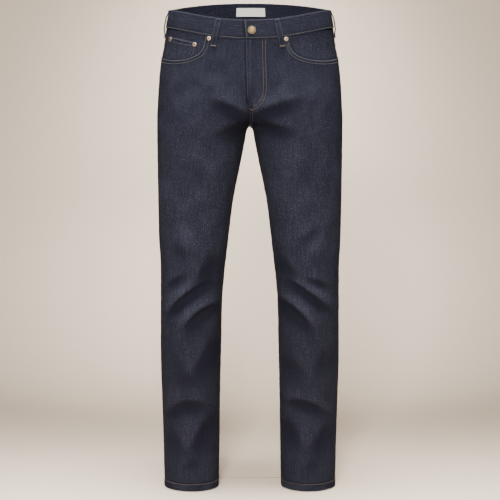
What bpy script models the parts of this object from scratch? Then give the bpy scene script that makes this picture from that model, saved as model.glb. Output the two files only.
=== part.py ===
"""Slim five-pocket jeans in dark indigo denim, filled out as if worn.

Metres, +Z up. The origin is the centre of the waist opening, level with the
waistband's top edge at the side seams. The front faces -Y, and the wearer's
left is +X. Every cut piece is a closed wall of cloth between two grids of
points, both read from one form: a smooth surface round the body and down each
leg. A place on it is a pair of numbers.

turn:   the place round the body, 0 at the centre front or the left inseam, 1
        at the left side seam, 2 at the centre back, 3 at the right side seam
        and 4 at the centre front or the right inseam.
height: the place down the body, 0 at the waistband's top edge and negative
        below it. At the waist the whole section tips forward, so a height is
        level only from the hip down.
"""

import math

import bmesh
import bpy
import numpy as np

# Cloth and seams
CLOTH = 0.0012
GAP = 0.0003
EDGE = GAP / 2
LAYER_GAP = 0.0008

# Heights down the body
BAND_HEIGHT = 0.039
FORK = -0.250
HEM_TOP = -1.0465
HEM_BOTTOM = -1.0640
CENTRE_X = 0.0002

# Waist tilt: the front of the waist sits lower than its back, its top edge most
TILT = 0.228
TILT_BOW = 0.54
TILT_ENDS = (-0.21, -0.05)
FRONT_SAG = 1.5
BACK_SAG = 0.8
SAG_ENDS = (-0.075, -0.042)
BACK_RISE = 0.0020

# Front outline: how far the side seam and the inseam stand from the middle
OUTLINE_COLUMNS = ("height", "side_x")
OUTLINE = (
    (0.004, 0.1712),
    (-0.020, 0.1784),
    (-0.043, 0.1822),
    (-0.075, 0.1862),
    (-0.107, 0.1925),
    (-0.150, 0.1975),
    (-0.194, 0.2005),
    (-0.250, 0.2028),
    (-0.325, 0.2024),
    (-0.413, 0.2016),
    (-0.502, 0.2000),
    (-0.560, 0.1972),
    (-0.640, 0.1980),
    (-0.770, 0.1994),
    (-0.865, 0.1974),
    (-0.958, 0.1955),
    (-1.070, 0.1937),
)
# The inner end of each leg's section. Above the fork it lies past the middle,
# where the other leg is: the section is cut off there, at the centre seam.
INSEAM_COLUMNS = ("height", "inner_x")
INSEAM = (
    (0.0040, -0.3000),
    (-0.1100, -0.2500),
    (-0.1500, -0.1780),
    (-0.1850, -0.1060),
    (-0.2080, -0.0660),
    (-0.2260, -0.0390),
    (-0.2390, -0.0185),
    (-0.2460, -0.0068),
    (FORK, CENTRE_X),
    (-0.2530, 0.0034),
    (-0.2590, 0.0070),
    (-0.2810, 0.0112),
    (-0.3250, 0.0198),
    (-0.3690, 0.0290),
    (-0.4130, 0.0374),
    (-0.5020, 0.0485),
    (-0.5920, 0.0586),
    (-0.6370, 0.0622),
    (-0.7280, 0.0643),
    (-0.8650, 0.0677),
    (-0.9580, 0.0692),
    (-1.0700, 0.0713),
)

# Side outline: the foremost and rearmost points of each section, how far they
# stand from the middle, and where the side seam runs between them
PROFILE_COLUMNS = ("height", "front_y", "back_y", "seam_y", "front_x", "back_x")
PROFILE = (
    (0.004, -0.0850, 0.0875, 0.0020, 0.000, 0.000),
    (-0.040, -0.0890, 0.0965, 0.0020, 0.000, 0.004),
    (-0.075, -0.0920, 0.1065, 0.0020, 0.004, 0.014),
    (-0.110, -0.0950, 0.1165, 0.0010, 0.016, 0.032),
    (-0.150, -0.0980, 0.1245, 0.0000, 0.045, 0.058),
    (-0.190, -0.1000, 0.1260, 0.0000, 0.072, 0.079),
    (-0.220, -0.1010, 0.1210, 0.0000, 0.085, 0.090),
    (-0.250, -0.1000, 0.1100, 0.0000, 0.094, 0.098),
    (-0.290, -0.0965, 0.1000, -0.0020, 0.104, 0.106),
    (-0.350, -0.0900, 0.0895, -0.0035, 0.112, 0.113),
    (-0.413, -0.0840, 0.0790, -0.0050, 0.118, 0.119),
    (-0.502, -0.0765, 0.0660, -0.0070, 0.123, 0.124),
    (-0.592, -0.0700, 0.0570, -0.0070, 0.128, 0.128),
    (-0.682, -0.0640, 0.0590, -0.0020, 0.131, 0.131),
    (-0.773, -0.0570, 0.0645, 0.0040, 0.132, 0.132),
    (-0.865, -0.0490, 0.0660, 0.0080, 0.132, 0.132),
    (-0.958, -0.0440, 0.0635, 0.0095, 0.132, 0.132),
    (-1.070, -0.0430, 0.0613, 0.0095, 0.132, 0.132),
)
ROUNDNESS = 0.57

# Where the crotch hooks out between the legs, and the share of each panel that
# keeps clear of it
FORK_REACH = (-0.200, -0.266)
FORK_SHARE = 0.74

# Folds in the cloth, seen from the front or from behind: each runs from start
# through middle to end, as wide as twice its width. A trough has a negative
# depth and a ridge a positive one.
FOLD_COLUMNS = (
    "face",
    "start_x",
    "start_z",
    "middle_x",
    "middle_z",
    "end_x",
    "end_z",
    "width",
    "depth",
)
FOLDS = (
    ("front", -0.008, -0.236, -0.041, -0.214, -0.084, -0.203, 0.010, -0.0030),
    ("front", 0.008, -0.236, 0.047, -0.216, 0.108, -0.201, 0.011, -0.0034),
    ("front", 0.016, -0.246, 0.047, -0.254, 0.094, -0.263, 0.011, -0.0036),
    ("front", -0.016, -0.250, -0.036, -0.259, -0.076, -0.269, 0.012, -0.0026),
    ("front", -0.157, -0.449, -0.142, -0.477, -0.129, -0.508, 0.013, 0.0022),
    ("front", -0.160, -0.500, -0.151, -0.520, -0.138, -0.540, 0.012, -0.0020),
    ("front", -0.166, -0.650, -0.125, -0.606, -0.082, -0.528, 0.012, -0.0058),
    ("front", -0.174, -0.672, -0.132, -0.650, -0.084, -0.600, 0.013, 0.0042),
    ("front", -0.136, -0.694, -0.106, -0.664, -0.070, -0.646, 0.012, -0.0042),
    ("front", -0.078, -0.720, -0.095, -0.765, -0.134, -0.816, 0.015, -0.0026),
    ("front", -0.178, -0.892, -0.146, -0.850, -0.088, -0.872, 0.013, -0.0034),
    ("front", -0.080, -0.900, -0.098, -0.940, -0.126, -0.978, 0.014, -0.0028),
    ("front", -0.180, -0.925, -0.166, -0.955, -0.152, -0.985, 0.013, -0.0024),
    ("front", 0.162, -0.480, 0.143, -0.506, 0.122, -0.532, 0.013, 0.0024),
    ("front", 0.108, -0.500, 0.130, -0.485, 0.152, -0.470, 0.012, -0.0024),
    ("front", 0.094, -0.598, 0.128, -0.615, 0.166, -0.645, 0.012, -0.0056),
    ("front", 0.082, -0.611, 0.122, -0.648, 0.176, -0.672, 0.013, 0.0040),
    ("front", 0.076, -0.642, 0.106, -0.666, 0.138, -0.698, 0.012, -0.0044),
    ("front", 0.074, -0.760, 0.096, -0.781, 0.124, -0.802, 0.014, -0.0022),
    ("front", 0.086, -0.866, 0.122, -0.848, 0.168, -0.884, 0.013, -0.0034),
    ("front", 0.078, -0.905, 0.092, -0.935, 0.108, -0.972, 0.013, -0.0026),
    ("front", 0.182, -0.912, 0.160, -0.945, 0.136, -0.980, 0.013, -0.0026),
    ("back", -0.176, -0.586, -0.130, -0.606, -0.080, -0.590, 0.013, -0.0056),
    ("back", -0.174, -0.638, -0.130, -0.628, -0.078, -0.652, 0.012, -0.0044),
    ("back", -0.170, -0.700, -0.126, -0.676, -0.082, -0.690, 0.013, -0.0030),
    ("back", 0.078, -0.596, 0.130, -0.612, 0.178, -0.588, 0.013, -0.0054),
    ("back", 0.080, -0.654, 0.128, -0.634, 0.176, -0.646, 0.012, -0.0046),
    ("back", 0.084, -0.696, 0.130, -0.682, 0.168, -0.706, 0.013, -0.0028),
    ("back", -0.026, -0.262, -0.080, -0.292, -0.146, -0.284, 0.013, -0.0038),
    ("back", 0.026, -0.260, 0.084, -0.290, 0.150, -0.286, 0.013, -0.0040),
    ("back", -0.176, -0.902, -0.130, -0.880, -0.082, -0.896, 0.013, -0.0032),
    ("back", 0.082, -0.898, 0.130, -0.878, 0.176, -0.894, 0.013, -0.0032),
)
FOLD_STEPS = 24

# Grids that the form is kept on
ROUND_STEPS = 64
CURVE_STEPS = 60
HEIGHT_STEPS = (
    (0.004, -0.200, 40),
    (-0.200, -0.250, 30),
    (-0.250, -0.300, 20),
    (-0.300, -1.070, 160),
)

# Hip pockets: the mouth leaves the waist seam this far from the centre front
MOUTH_START_LEFT = 0.0840
MOUTH_START_RIGHT = 0.0955
MOUTH_DEPTH = 0.061
MOUTH_POWER = 2.65
MOUTH_COLUMNS = 7
MOUTH_CROWDING = 1.8
FACING_UNDER = 0.013
COIN_TOP = -0.0550
COIN_INNER_TOP = 0.1130
COIN_INNER_BOTTOM = 0.1210
COIN_OUTER = 0.1960
COIN_CLOTH = 0.0009

# Fly: the left front laps over the right one, less towards its end above the fork
FLY_LAP_TOP = 0.0080
FLY_LAP_LOW = 0.0050
FLY_END = -0.200
FLY_FADE = 0.018
FLY_RISE = 0.010
FLY_FLAT = 0.0012
SHIELD_RIGHT = 0.014
SHIELD_LEFT = 0.028
SHIELD_END = -0.188

# Yoke and back pockets
YOKE_SIDE = -0.081
YOKE_CENTRE = -0.119
POCKET_UNDER_YOKE = 0.020
POCKET_TOP_WIDTH = 0.150
POCKET_BOTTOM_WIDTH = 0.132
POCKET_SIDE = 0.126
POCKET_POINT = 0.022
POCKET_FROM_CENTRE = 0.034
POCKET_ROWS = slice(0, 14)
POCKET_CUT_DEPTH = (0.020, 0.200)

# Waistband: two layers, its buttoned end on top
BAND_PROUD = 0.0010
BAND_WALL = 0.0026
BAND_RAISE = 0.0015
LAP_TOP = 0.0126
LAP_BOTTOM = 0.0075
LAP_UNDER = 0.034
LAP_RAMP = 0.016

# Belt loops: distance from the centre front at the top and the bottom end
LOOP_WIDTH = 0.0128
LOOP_WALL = 0.0020
LOOP_STAND = 0.0018
LOOP_TOP = -0.0008
LOOP_BOTTOM = -0.0605
LOOP_END = 0.15
LOOP_RAMP = 0.16
LOOP_STEP = 0.007

# Hems
HEM_PROUD = 0.0004
HEM_WALL = 0.0034

# Metal and label
BUTTON_RADIUS = 0.0085
BUTTON_FROM_CENTRE = 0.0040
BUTTON_HEIGHT = -0.0214
RIVET_RADIUS = 0.0047
RIVET_HEIGHT = -0.0445
RIVET_LEFT = 0.0772
RIVET_RIGHT = 0.0868
COIN_RIVET_HEIGHT = -0.0595
COIN_RIVET_INNER = 0.1180
COIN_RIVET_OUTER = 0.1830
LABEL_WIDTH = 0.0630
LABEL_TOP = -0.0095
LABEL_HEIGHT = 0.0178
LABEL_WALL = 0.0006
LABEL_SHIFT = 0.002

INDIGO = (0.022, 0.032, 0.060)
INDIGO_DEEP = (0.017, 0.024, 0.045)
BRASS = (0.62, 0.44, 0.22)
COPPER = (0.72, 0.50, 0.34)
OFF_WHITE = (0.78, 0.75, 0.68)


def clear_scene():
    """Removes what a new scene starts with."""
    for item in list(bpy.data.objects):
        bpy.data.objects.remove(item, do_unlink=True)


def column(rows, names, name):
    """One named column of a table, as an array."""
    place = names.index(name)
    return np.array([row[place] for row in rows], dtype=float)


def read_table(rows, names, name, height):
    """A table's column at any height, by cubic pieces that never overshoot its rows."""
    x = column(rows, names, "height")[::-1]
    y = column(rows, names, name)[::-1]
    step = np.diff(x)
    slope = np.diff(y) / step
    before, after = slope[:-1], slope[1:]
    same_way = before * after > 0
    before_safe = np.where(same_way, before, 1.0)
    after_safe = np.where(same_way, after, 1.0)
    weight_a = 2 * step[1:] + step[:-1]
    weight_b = step[1:] + 2 * step[:-1]
    mean = (weight_a + weight_b) / (weight_a / before_safe + weight_b / after_safe)
    tangent = np.concatenate([[slope[0]], np.where(same_way, mean, 0.0), [slope[-1]]])
    k = np.clip(np.searchsorted(x, height) - 1, 0, len(step) - 1)
    t = (height - x[k]) / step[k]
    return (
        (1 + 2 * t) * (1 - t) ** 2 * y[k]
        + t * (1 - t) ** 2 * step[k] * tangent[k]
        + t**2 * (3 - 2 * t) * y[k + 1]
        + t**2 * (t - 1) * step[k] * tangent[k + 1]
    )


def ease(value, low, high):
    """0 below low, 1 above high, with a soft start and end between them."""
    t = np.clip((value - low) / (high - low), 0.0, 1.0)
    return t * t * (3 - 2 * t)


def bezier(a, b, c, d, steps):
    """Cubic curves with these end points and handles, one for each row of them."""
    t = np.linspace(0.0, 1.0, steps + 1)[None, :, None]
    a, b, c, d = (point[:, None, :] for point in (a, b, c, d))
    return (1 - t) ** 3 * a + 3 * (1 - t) ** 2 * t * b + 3 * (1 - t) * t**2 * c + t**3 * d


def form_heights():
    """Heights of the form's rows, closest together at the fork."""
    rows = [HEIGHT_STEPS[0][0]]
    for number, (start, end, steps) in enumerate(HEIGHT_STEPS):
        t = np.arange(1, steps + 1) / steps
        if number == 1:
            t = 1 - (1 - t) ** 2
        elif number == 2:
            t = t**2
        rows.extend(start + (end - start) * t)
    return np.array(rows)


def quarter_sections(face, heights):
    """The left front's or left back's sections: even points from side seam to centre seam or inseam."""
    side_x = read_table(OUTLINE, OUTLINE_COLUMNS, "side_x", heights)
    inner_x = read_table(INSEAM, INSEAM_COLUMNS, "inner_x", heights)
    seam_y = read_table(PROFILE, PROFILE_COLUMNS, "seam_y", heights)
    crown_x = read_table(PROFILE, PROFILE_COLUMNS, face + "_x", heights)
    crown_y = read_table(PROFILE, PROFILE_COLUMNS, face + "_y", heights)
    nothing = np.zeros_like(heights)
    side = np.stack([side_x, seam_y], axis=1)
    crown = np.stack([crown_x, crown_y], axis=1)
    inner = np.stack([inner_x, seam_y], axis=1)
    outward = ROUNDNESS * np.stack([nothing, crown_y - seam_y], axis=1)
    to_side = ROUNDNESS * np.stack([side_x - crown_x, nothing], axis=1)
    to_inner = ROUNDNESS * np.stack([inner_x - crown_x, nothing], axis=1)
    first = bezier(side, side + outward, crown + to_side, crown, CURVE_STEPS)
    second = bezier(crown, crown + to_inner, inner + outward, inner, CURVE_STEPS)
    plan = np.concatenate([first, second[:, 1:]], axis=1)
    spans = np.linalg.norm(np.diff(plan, axis=1), axis=2)
    along = np.concatenate([np.zeros((len(plan), 1)), np.cumsum(spans, axis=1)], axis=1)
    wanted = np.linspace(0.0, 1.0, ROUND_STEPS + 1)
    even = np.empty((len(plan), ROUND_STEPS + 1, 3))
    lengths = np.empty(len(plan))
    for row, (curve, length) in enumerate(zip(plan, along)):
        lengths[row] = np.interp(-CENTRE_X, -curve[:, 0], length)
        even[row, :, 0] = np.interp(wanted * lengths[row], length, curve[:, 0])
        even[row, :, 1] = np.interp(wanted * lengths[row], length, curve[:, 1])
    depth = np.minimum(np.abs(even[:, :, 1] / crown_y[:, None]), 1.0)
    sag = FRONT_SAG if face == "front" else BACK_SAG
    rise = 0.0 if face == "front" else BACK_RISE
    tilt = TILT * even[:, :, 1] - TILT_BOW * even[:, :, 1] ** 2
    tilt *= depth ** (sag * ease(heights, *SAG_ENDS))[:, None]
    even[:, :, 2] = heights[:, None] + tilt * ease(heights, *TILT_ENDS)[:, None]
    even[:, :, 2] += rise * depth**2 * ease(heights, -BAND_HEIGHT, 0.0)[:, None]
    return even, lengths


def outward_normals(points, face):
    """Unit normals of a grid of points, away from the body."""
    across = np.gradient(points, axis=1)
    down = np.gradient(points, axis=0)
    normals = np.cross(across, down)
    normals /= np.linalg.norm(normals, axis=2, keepdims=True)
    middle = normals[: len(normals) // 8, ROUND_STEPS // 2, 1].mean()
    wanted = -1 if face == "front" else 1
    return normals * (1 if middle * wanted > 0 else -1)


def fold_line(fold, axis, t):
    """A fold's line from start through middle to end, a parabola, along one axis."""
    start, middle, end = (fold[place + axis] for place in ("start_", "middle_", "end_"))
    bow = 2 * middle - (start + end) / 2
    return (1 - t) ** 2 * start + 2 * (1 - t) * t * bow + t**2 * end


def fold_depth(points, normals, face):
    """How far the folds of one face push each point out or in."""
    total = np.zeros(points.shape[:2])
    for row in FOLDS:
        fold = dict(zip(FOLD_COLUMNS, row))
        if fold["face"] != face:
            continue
        t = np.linspace(0.0, 1.0, FOLD_STEPS + 1)
        line = np.stack([fold_line(fold, axis, t) for axis in "xz"], axis=1)
        away = np.linalg.norm(points[:, :, None, (0, 2)] - line, axis=3)
        nearest = away.argmin(axis=2)
        taper = np.sin(np.pi * np.clip(t[nearest], 0.04, 0.96)) ** 0.8
        total += fold["depth"] * taper * np.exp(-((away.min(axis=2) / fold["width"]) ** 2))
    facing = ease(np.abs(normals[:, :, 1]), 0.05, 0.45)
    from_middle = np.where(points[:, :, 2] > -0.275, ease(np.abs(points[:, :, 0]), 0.001, 0.016), 1.0)
    return total * facing * from_middle


def share_edge(first, second, rows, place):
    """Gives two grids of normals the same direction along the seam that they meet at."""
    mean = first[rows, place] + second[rows, place]
    mean /= np.linalg.norm(mean, axis=1, keepdims=True)
    first[rows, place] = mean
    second[rows, place] = mean


class Form:
    """The smooth surface that every piece of cloth is read from."""

    def __init__(self):
        self.heights = form_heights()
        self.points = []
        self.normals = []
        self.lengths = {}
        quarters = {}
        below_fork = self.heights < FORK
        for side in (1, -1):
            for face in ("front", "back"):
                points, lengths = quarter_sections(face, self.heights)
                self.lengths[face] = lengths
                points = points * (side, 1, 1)
                normals = outward_normals(points, face)
                points = points + normals * fold_depth(points, normals, face)[:, :, None]
                quarters[side, face] = [points, outward_normals(points, face)]
            front, back = quarters[side, "front"][1], quarters[side, "back"][1]
            share_edge(front, back, slice(None), 0)
            share_edge(front, back, below_fork, -1)
        order = ((1, "front", True), (1, "back", False), (-1, "back", True), (-1, "front", False))
        for side, face, backwards in order:
            points, normals = quarters[side, face]
            step = -1 if backwards else 1
            self.points.append(points[:, ::step])
            self.normals.append(normals[:, ::step])

    def length(self, face, height):
        """Cloth from side seam to centre seam or inseam at a height."""
        return np.interp(-np.asarray(height), -self.heights, self.lengths[face])

    def spread(self, face, height, columns):
        """Shares of a section's length for these columns. The outer ones pass the fork without a bend."""
        full = self.length(face, height)
        steady_rows = (self.heights > FORK_REACH[0]) | (self.heights < FORK_REACH[1])
        steady_lengths = self.lengths[face][steady_rows]
        steady = np.interp(-np.asarray(height), -self.heights[steady_rows], steady_lengths)
        outer = np.minimum(columns, FORK_SHARE) * steady
        rest = (np.maximum(columns, FORK_SHARE) - FORK_SHARE) / (1 - FORK_SHARE)
        return (outer + rest * (full - FORK_SHARE * steady)) / full

    def read(self, turn, height, lift=0.0):
        """Points at these places, moved out from the surface by lift."""
        turn, height, lift = np.broadcast_arrays(turn, height, lift)
        row = np.interp(-height, -self.heights, np.arange(len(self.heights)))
        row_low = np.clip(row.astype(int), 0, len(self.heights) - 2)
        row_part = (row - row_low)[..., None]
        wrapped = np.mod(turn, 4.0)
        quarter = np.clip(wrapped.astype(int), 0, 3)
        across = (wrapped - quarter) * ROUND_STEPS
        low = np.clip(across.astype(int), 0, ROUND_STEPS - 1)
        part = (across - low)[..., None]
        result = np.empty(turn.shape + (3,))
        for number in range(4):
            here = quarter == number
            for grid, factor in ((self.points[number], None), (self.normals[number], lift)):
                i, j = row_low[here], low[here]
                a, b = row_part[here], part[here]
                mixed = (
                    grid[i, j] * (1 - a) * (1 - b)
                    + grid[i + 1, j] * a * (1 - b)
                    + grid[i, j + 1] * (1 - a) * b
                    + grid[i + 1, j + 1] * a * b
                )
                if factor is None:
                    result[here] = mixed
                else:
                    mixed /= np.linalg.norm(mixed, axis=1, keepdims=True)
                    result[here] += mixed * factor[here][:, None]
        return result

    def frame(self, turn, height, lift):
        """A point on the surface, with its outward, downward and sideways directions."""
        turn = np.asarray(turn, dtype=float)
        centre = self.read(turn, height, lift)
        out = self.read(turn, height, 1.0) - self.read(turn, height, 0.0)
        out /= np.linalg.norm(out)
        down = self.read(turn, height - 0.004, 0.0) - self.read(turn, height, 0.0)
        down -= out * (down @ out)
        down /= np.linalg.norm(down)
        return centre, out, down, np.cross(down, out)


def material(name, colour, roughness, metallic=0.0):
    """A Principled material of one plain finish."""
    made = bpy.data.materials.new(name)
    made.use_nodes = True
    shader = made.node_tree.nodes["Principled BSDF"]
    shader.inputs["Base Color"].default_value = (*colour, 1.0)
    shader.inputs["Roughness"].default_value = roughness
    shader.inputs["Metallic"].default_value = metallic
    return made


def add_object(name, mesh_maker, finish):
    """Turns a filled bmesh into a named, smooth-shaded object with one material."""
    bmesh.ops.recalc_face_normals(mesh_maker, faces=mesh_maker.faces)
    mesh = bpy.data.meshes.new(name)
    mesh_maker.to_mesh(mesh)
    mesh_maker.free()
    mesh.shade_smooth()
    mesh.set_sharp_from_angle(angle=math.radians(40))
    mesh.materials.append(finish)
    made = bpy.data.objects.new(name, mesh)
    bpy.context.scene.collection.objects.link(made)
    return made


def wall(name, outer, inner, finish, closed=False):
    """A closed wall of cloth between two grids of points. Closed grids go all the way round."""
    rows, columns = outer.shape[:2]
    maker = bmesh.new()
    skins = [[[maker.verts.new(point) for point in row] for row in grid] for grid in (outer, inner)]
    last = columns if closed else columns - 1
    for skin in skins:
        for i in range(rows - 1):
            for j in range(last):
                k = (j + 1) % columns
                maker.faces.new((skin[i][j], skin[i][k], skin[i + 1][k]))
                maker.faces.new((skin[i][j], skin[i + 1][k], skin[i + 1][j]))
    out, back = skins
    for i in (0, rows - 1):
        for j in range(last):
            k = (j + 1) % columns
            maker.faces.new((out[i][j], out[i][k], back[i][k], back[i][j]))
    if not closed:
        for j in (0, columns - 1):
            for i in range(rows - 1):
                maker.faces.new((out[i][j], out[i + 1][j], back[i + 1][j], back[i][j]))
    return add_object(name, maker, finish)


def cloth_wall(name, form, turn, height, lift, thickness, finish, closed=False):
    """A wall whose outer face lies at a lift over the form, and its inner face one thickness under."""
    outer = form.read(turn, height, lift)
    inner = form.read(turn, height, np.asarray(lift) - thickness)
    return wall(name, outer, inner, finish, closed)


def turned_piece(name, frame, profile, segments, finish):
    """A round piece: (radius, rise) pairs from back to front, turned about the outward line."""
    centre, out, down, across = frame
    maker = bmesh.new()
    rings = []
    for radius, rise in profile:
        middle = centre + out * rise
        if radius == 0.0:
            rings.append([maker.verts.new(middle)])
            continue
        ring = []
        for k in range(segments):
            angle = 2 * math.pi * k / segments
            spoke = math.cos(angle) * across + math.sin(angle) * down
            ring.append(maker.verts.new(middle + radius * spoke))
        rings.append(ring)
    for first, second in zip(rings, rings[1:]):
        for k in range(segments):
            n = (k + 1) % segments
            near = [first[k % len(first)], first[n % len(first)]]
            far = [second[n % len(second)], second[k % len(second)]]
            maker.faces.new(list(dict.fromkeys(near + far)))
    return add_object(name, maker, finish)


def mouth_drop(share, start):
    """How far the pocket mouth lies below the waist seam, for shares from centre front to side."""
    t = np.clip((share - start) / (1 - start), 0.0, 1.0)
    return MOUTH_DEPTH * (1 - (1 - t) ** MOUTH_POWER) ** (1 / MOUTH_POWER)


def panel_rows(top, block_end, spans):
    """Heights of a panel's rows: from each column's own top down to a level row, then level rows."""
    top_rows, rest = spans[0], spans[1:]
    t = np.linspace(0.0, 1.0, top_rows + 1)[:, None]
    rows = [top * (1 - t) + block_end * t]
    start = block_end
    for end, steps in rest:
        level = np.linspace(start, end, steps + 1)[1:, None]
        rows.append(np.repeat(level, len(top), axis=1))
        start = end
    return np.concatenate(rows)


FRONT_SPANS = (
    4,
    (-0.195, 3),
    (-0.226, 3),
    (-0.243, 2),
    (-0.2485, 2),
    (-0.2500, 1),
    (-0.2525, 1),
    (-0.2590, 1),
    (-0.2810, 2),
    (-0.5000, 6),
    (-0.7000, 15),
    (-0.8400, 5),
    (-1.0000, 9),
    (HEM_TOP, 1),
)
BACK_SPANS = (
    2,
    (-0.208, 3),
    (-0.239, 2),
    (-0.2485, 2),
    (-0.2500, 1),
    (-0.2525, 1),
    (-0.2590, 1),
    (-0.2900, 3),
    (-0.5600, 6),
    (-0.7200, 11),
    (-0.8600, 3),
    (-0.9200, 3),
    (HEM_TOP, 2),
)
FRONT_BLOCK_END = -0.135
BACK_BLOCK_END = -0.150
WAIST_SEAM = -BAND_HEIGHT - GAP


def mouth_columns(start):
    """Columns between the mouth's start and the side seam, closest where the mouth is steep."""
    steps = np.arange(1, MOUTH_COLUMNS + 1) / MOUTH_COLUMNS
    return start + (1 - start) * steps**MOUTH_CROWDING


def fly_lap(height):
    """How far the fly's edge passes the centre front."""
    t = np.clip((height - FLY_END) / (WAIST_SEAM - FLY_END), 0.0, 1.0)
    return FLY_LAP_LOW + (FLY_LAP_TOP - FLY_LAP_LOW) * t


def front_panel(form, side, finish):
    """One front: the pocket mouth is cut from its top, and the left one's fly edge laps over the right."""
    left = side == "left"
    waist_length = form.length("front", WAIST_SEAM)
    start = (MOUTH_START_LEFT if left else MOUTH_START_RIGHT) / waist_length
    columns = np.concatenate([start * np.linspace(0.0, 1.0, 7), mouth_columns(start)])
    top = WAIST_SEAM - mouth_drop(columns, start)
    heights = panel_rows(top, FRONT_BLOCK_END, FRONT_SPANS)
    length = form.length("front", heights)
    inner_edge = EDGE / length
    lift = np.zeros_like(heights)
    fly = ease(heights, FLY_END, FLY_END + FLY_FADE)
    fly_lift = ease(heights, FLY_END - FLY_FADE, FLY_END)
    if left:
        inner_edge = inner_edge * (1 - fly) - fly_lap(heights) / length * fly
    from_side = form.spread("front", heights, 1 - columns)
    share = inner_edge + (1 - EDGE / length - inner_edge) * (1 - from_side)
    if left:
        share[:, 1] = np.where(fly_lift[:, 1] > 0, FLY_FLAT / length[:, 1], share[:, 1])
        share[:, 2] = np.where(fly_lift[:, 2] > 0, FLY_RISE / length[:, 2], share[:, 2])
        lift = (CLOTH + GAP) * fly_lift * ease(-share * length, -FLY_RISE, -FLY_FLAT)
    else:
        under_lap = (fly_lap(heights[:, 1]) + FLY_FLAT) / length[:, 1]
        share[:, 1] = np.where(fly_lift[:, 1] > 0, under_lap, share[:, 1])
    turn = share if left else 4 - share
    return cloth_wall("front_" + side, form, turn, heights, lift, CLOTH, finish)


def back_panel(form, side, finish):
    """One back, from the yoke seam to the hem. Gives the places of its grid, for its pocket."""
    columns = np.linspace(0.0, 1.0, 12)
    top = yoke_seam(columns) - GAP
    heights = panel_rows(top, BACK_BLOCK_END, BACK_SPANS)
    edge = EDGE / form.length("back", heights)
    share = edge + (1 - 2 * edge) * form.spread("back", heights, columns)
    turn = 1 + share if side == "left" else 3 - share
    cloth_wall("back_" + side, form, turn, heights, 0.0, CLOTH, finish)
    return turn, heights


def yoke_seam(share):
    """The yoke seam's height, from the side seam, 0, to the centre back, 1."""
    return YOKE_SIDE + (YOKE_CENTRE - YOKE_SIDE) * share**1.15


def yoke(form, side, finish):
    """The V-shaped piece between the waistband and the back."""
    share = np.linspace(0.0, 1.0, 12)
    down = np.linspace(0.0, 1.0, 4)[:, None]
    heights = WAIST_SEAM * (1 - down) + yoke_seam(share) * down
    edge = EDGE / form.length("back", heights)
    share = edge + (1 - 2 * edge) * share
    turn = 1 + share if side == "left" else 3 - share
    return cloth_wall("yoke_" + side, form, turn, heights, 0.0, CLOTH, finish)


def pocket_facing(form, side, finish):
    """The piece seen in a hip pocket's mouth, one layer further in than the front."""
    left = side == "left"
    waist_length = form.length("front", WAIST_SEAM)
    start = (MOUTH_START_LEFT if left else MOUTH_START_RIGHT) / waist_length
    low_start = start - FACING_UNDER / waist_length
    share = np.concatenate([[low_start, start], mouth_columns(start)]) - EDGE / waist_length
    bottom = WAIST_SEAM - mouth_drop(share, start) - FACING_UNDER
    down = np.linspace(0.0, 1.0, 5)[:, None]
    heights = WAIST_SEAM * (1 - down) + bottom * down
    turn = share + 0 * heights if left else 4 - share + 0 * heights
    return cloth_wall("pocket_facing_" + side, form, turn, heights, -CLOTH - LAYER_GAP, CLOTH, finish)


def coin_lift():
    """The outer face of the coin pocket, which lies on the facing."""
    return COIN_CLOTH - CLOTH - LAYER_GAP / 2


def coin_pocket(form, finish):
    """The small pocket on the right facing, hidden at its bottom by the mouth's edge."""
    length = form.length("front", WAIST_SEAM)
    start = MOUTH_START_RIGHT / length
    across = np.linspace(0.0, 1.0, 9)
    down = np.linspace(0.0, 1.0, 4)[:, None]
    top_share = (COIN_INNER_TOP + (COIN_OUTER - COIN_INNER_TOP) * across) / length
    low_share = (COIN_INNER_BOTTOM + (COIN_OUTER - COIN_INNER_BOTTOM) * across) / length
    bottom = WAIST_SEAM - mouth_drop(low_share, start) + 4 * GAP
    share = top_share * (1 - down) + low_share * down
    heights = COIN_TOP * (1 - down) + bottom * down
    lift = coin_lift()
    return cloth_wall("coin_pocket", form, 4 - share, heights, lift, COIN_CLOTH, finish)


def fly_shield(form, finish):
    """The strip that backs the closed fly, sewn to the right front and reaching under the left."""
    across = np.linspace(-SHIELD_RIGHT, SHIELD_LEFT, 7)
    heights = np.linspace(WAIST_SEAM, SHIELD_END, 9)[:, None] + 0 * across
    turn = across / form.length("front", heights)
    return cloth_wall("fly_shield", form, turn, heights, -CLOTH - LAYER_GAP, CLOTH, finish)


def waistband(form, finish):
    """One strip round the waist. Its left end laps over its right end at the button."""
    down = np.linspace(0.0, 1.0, 3)[:, None]
    heights_down = -BAND_HEIGHT * down
    length = form.length("front", -BAND_HEIGHT / 2)
    lap = (LAP_TOP + (LAP_BOTTOM - LAP_TOP) * down) / length
    under = LAP_UNDER / length
    ramp = LAP_RAMP / length
    middle = np.linspace(under + ramp, 4 - ramp - LAP_TOP / length, 44)
    before = (-lap, 0 * lap, 0 * lap + 0.5 * under, 0 * lap + under)
    covered = (4 - 0.9 * LAP_TOP / length, 4.0, 4 + 0.5 * under, 4 + under - GAP)
    after = [place + 0 * lap for place in covered]
    turn = np.concatenate([*before, middle + 0 * lap, *after], axis=1)
    heights = heights_down + 0 * turn
    lift = np.full(turn.shape, BAND_PROUD)
    lift[:, : len(before)] += BAND_RAISE
    lift[:, -len(after) :] -= BAND_RAISE
    return cloth_wall("waistband", form, turn, heights, lift, BAND_WALL, finish)


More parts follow.
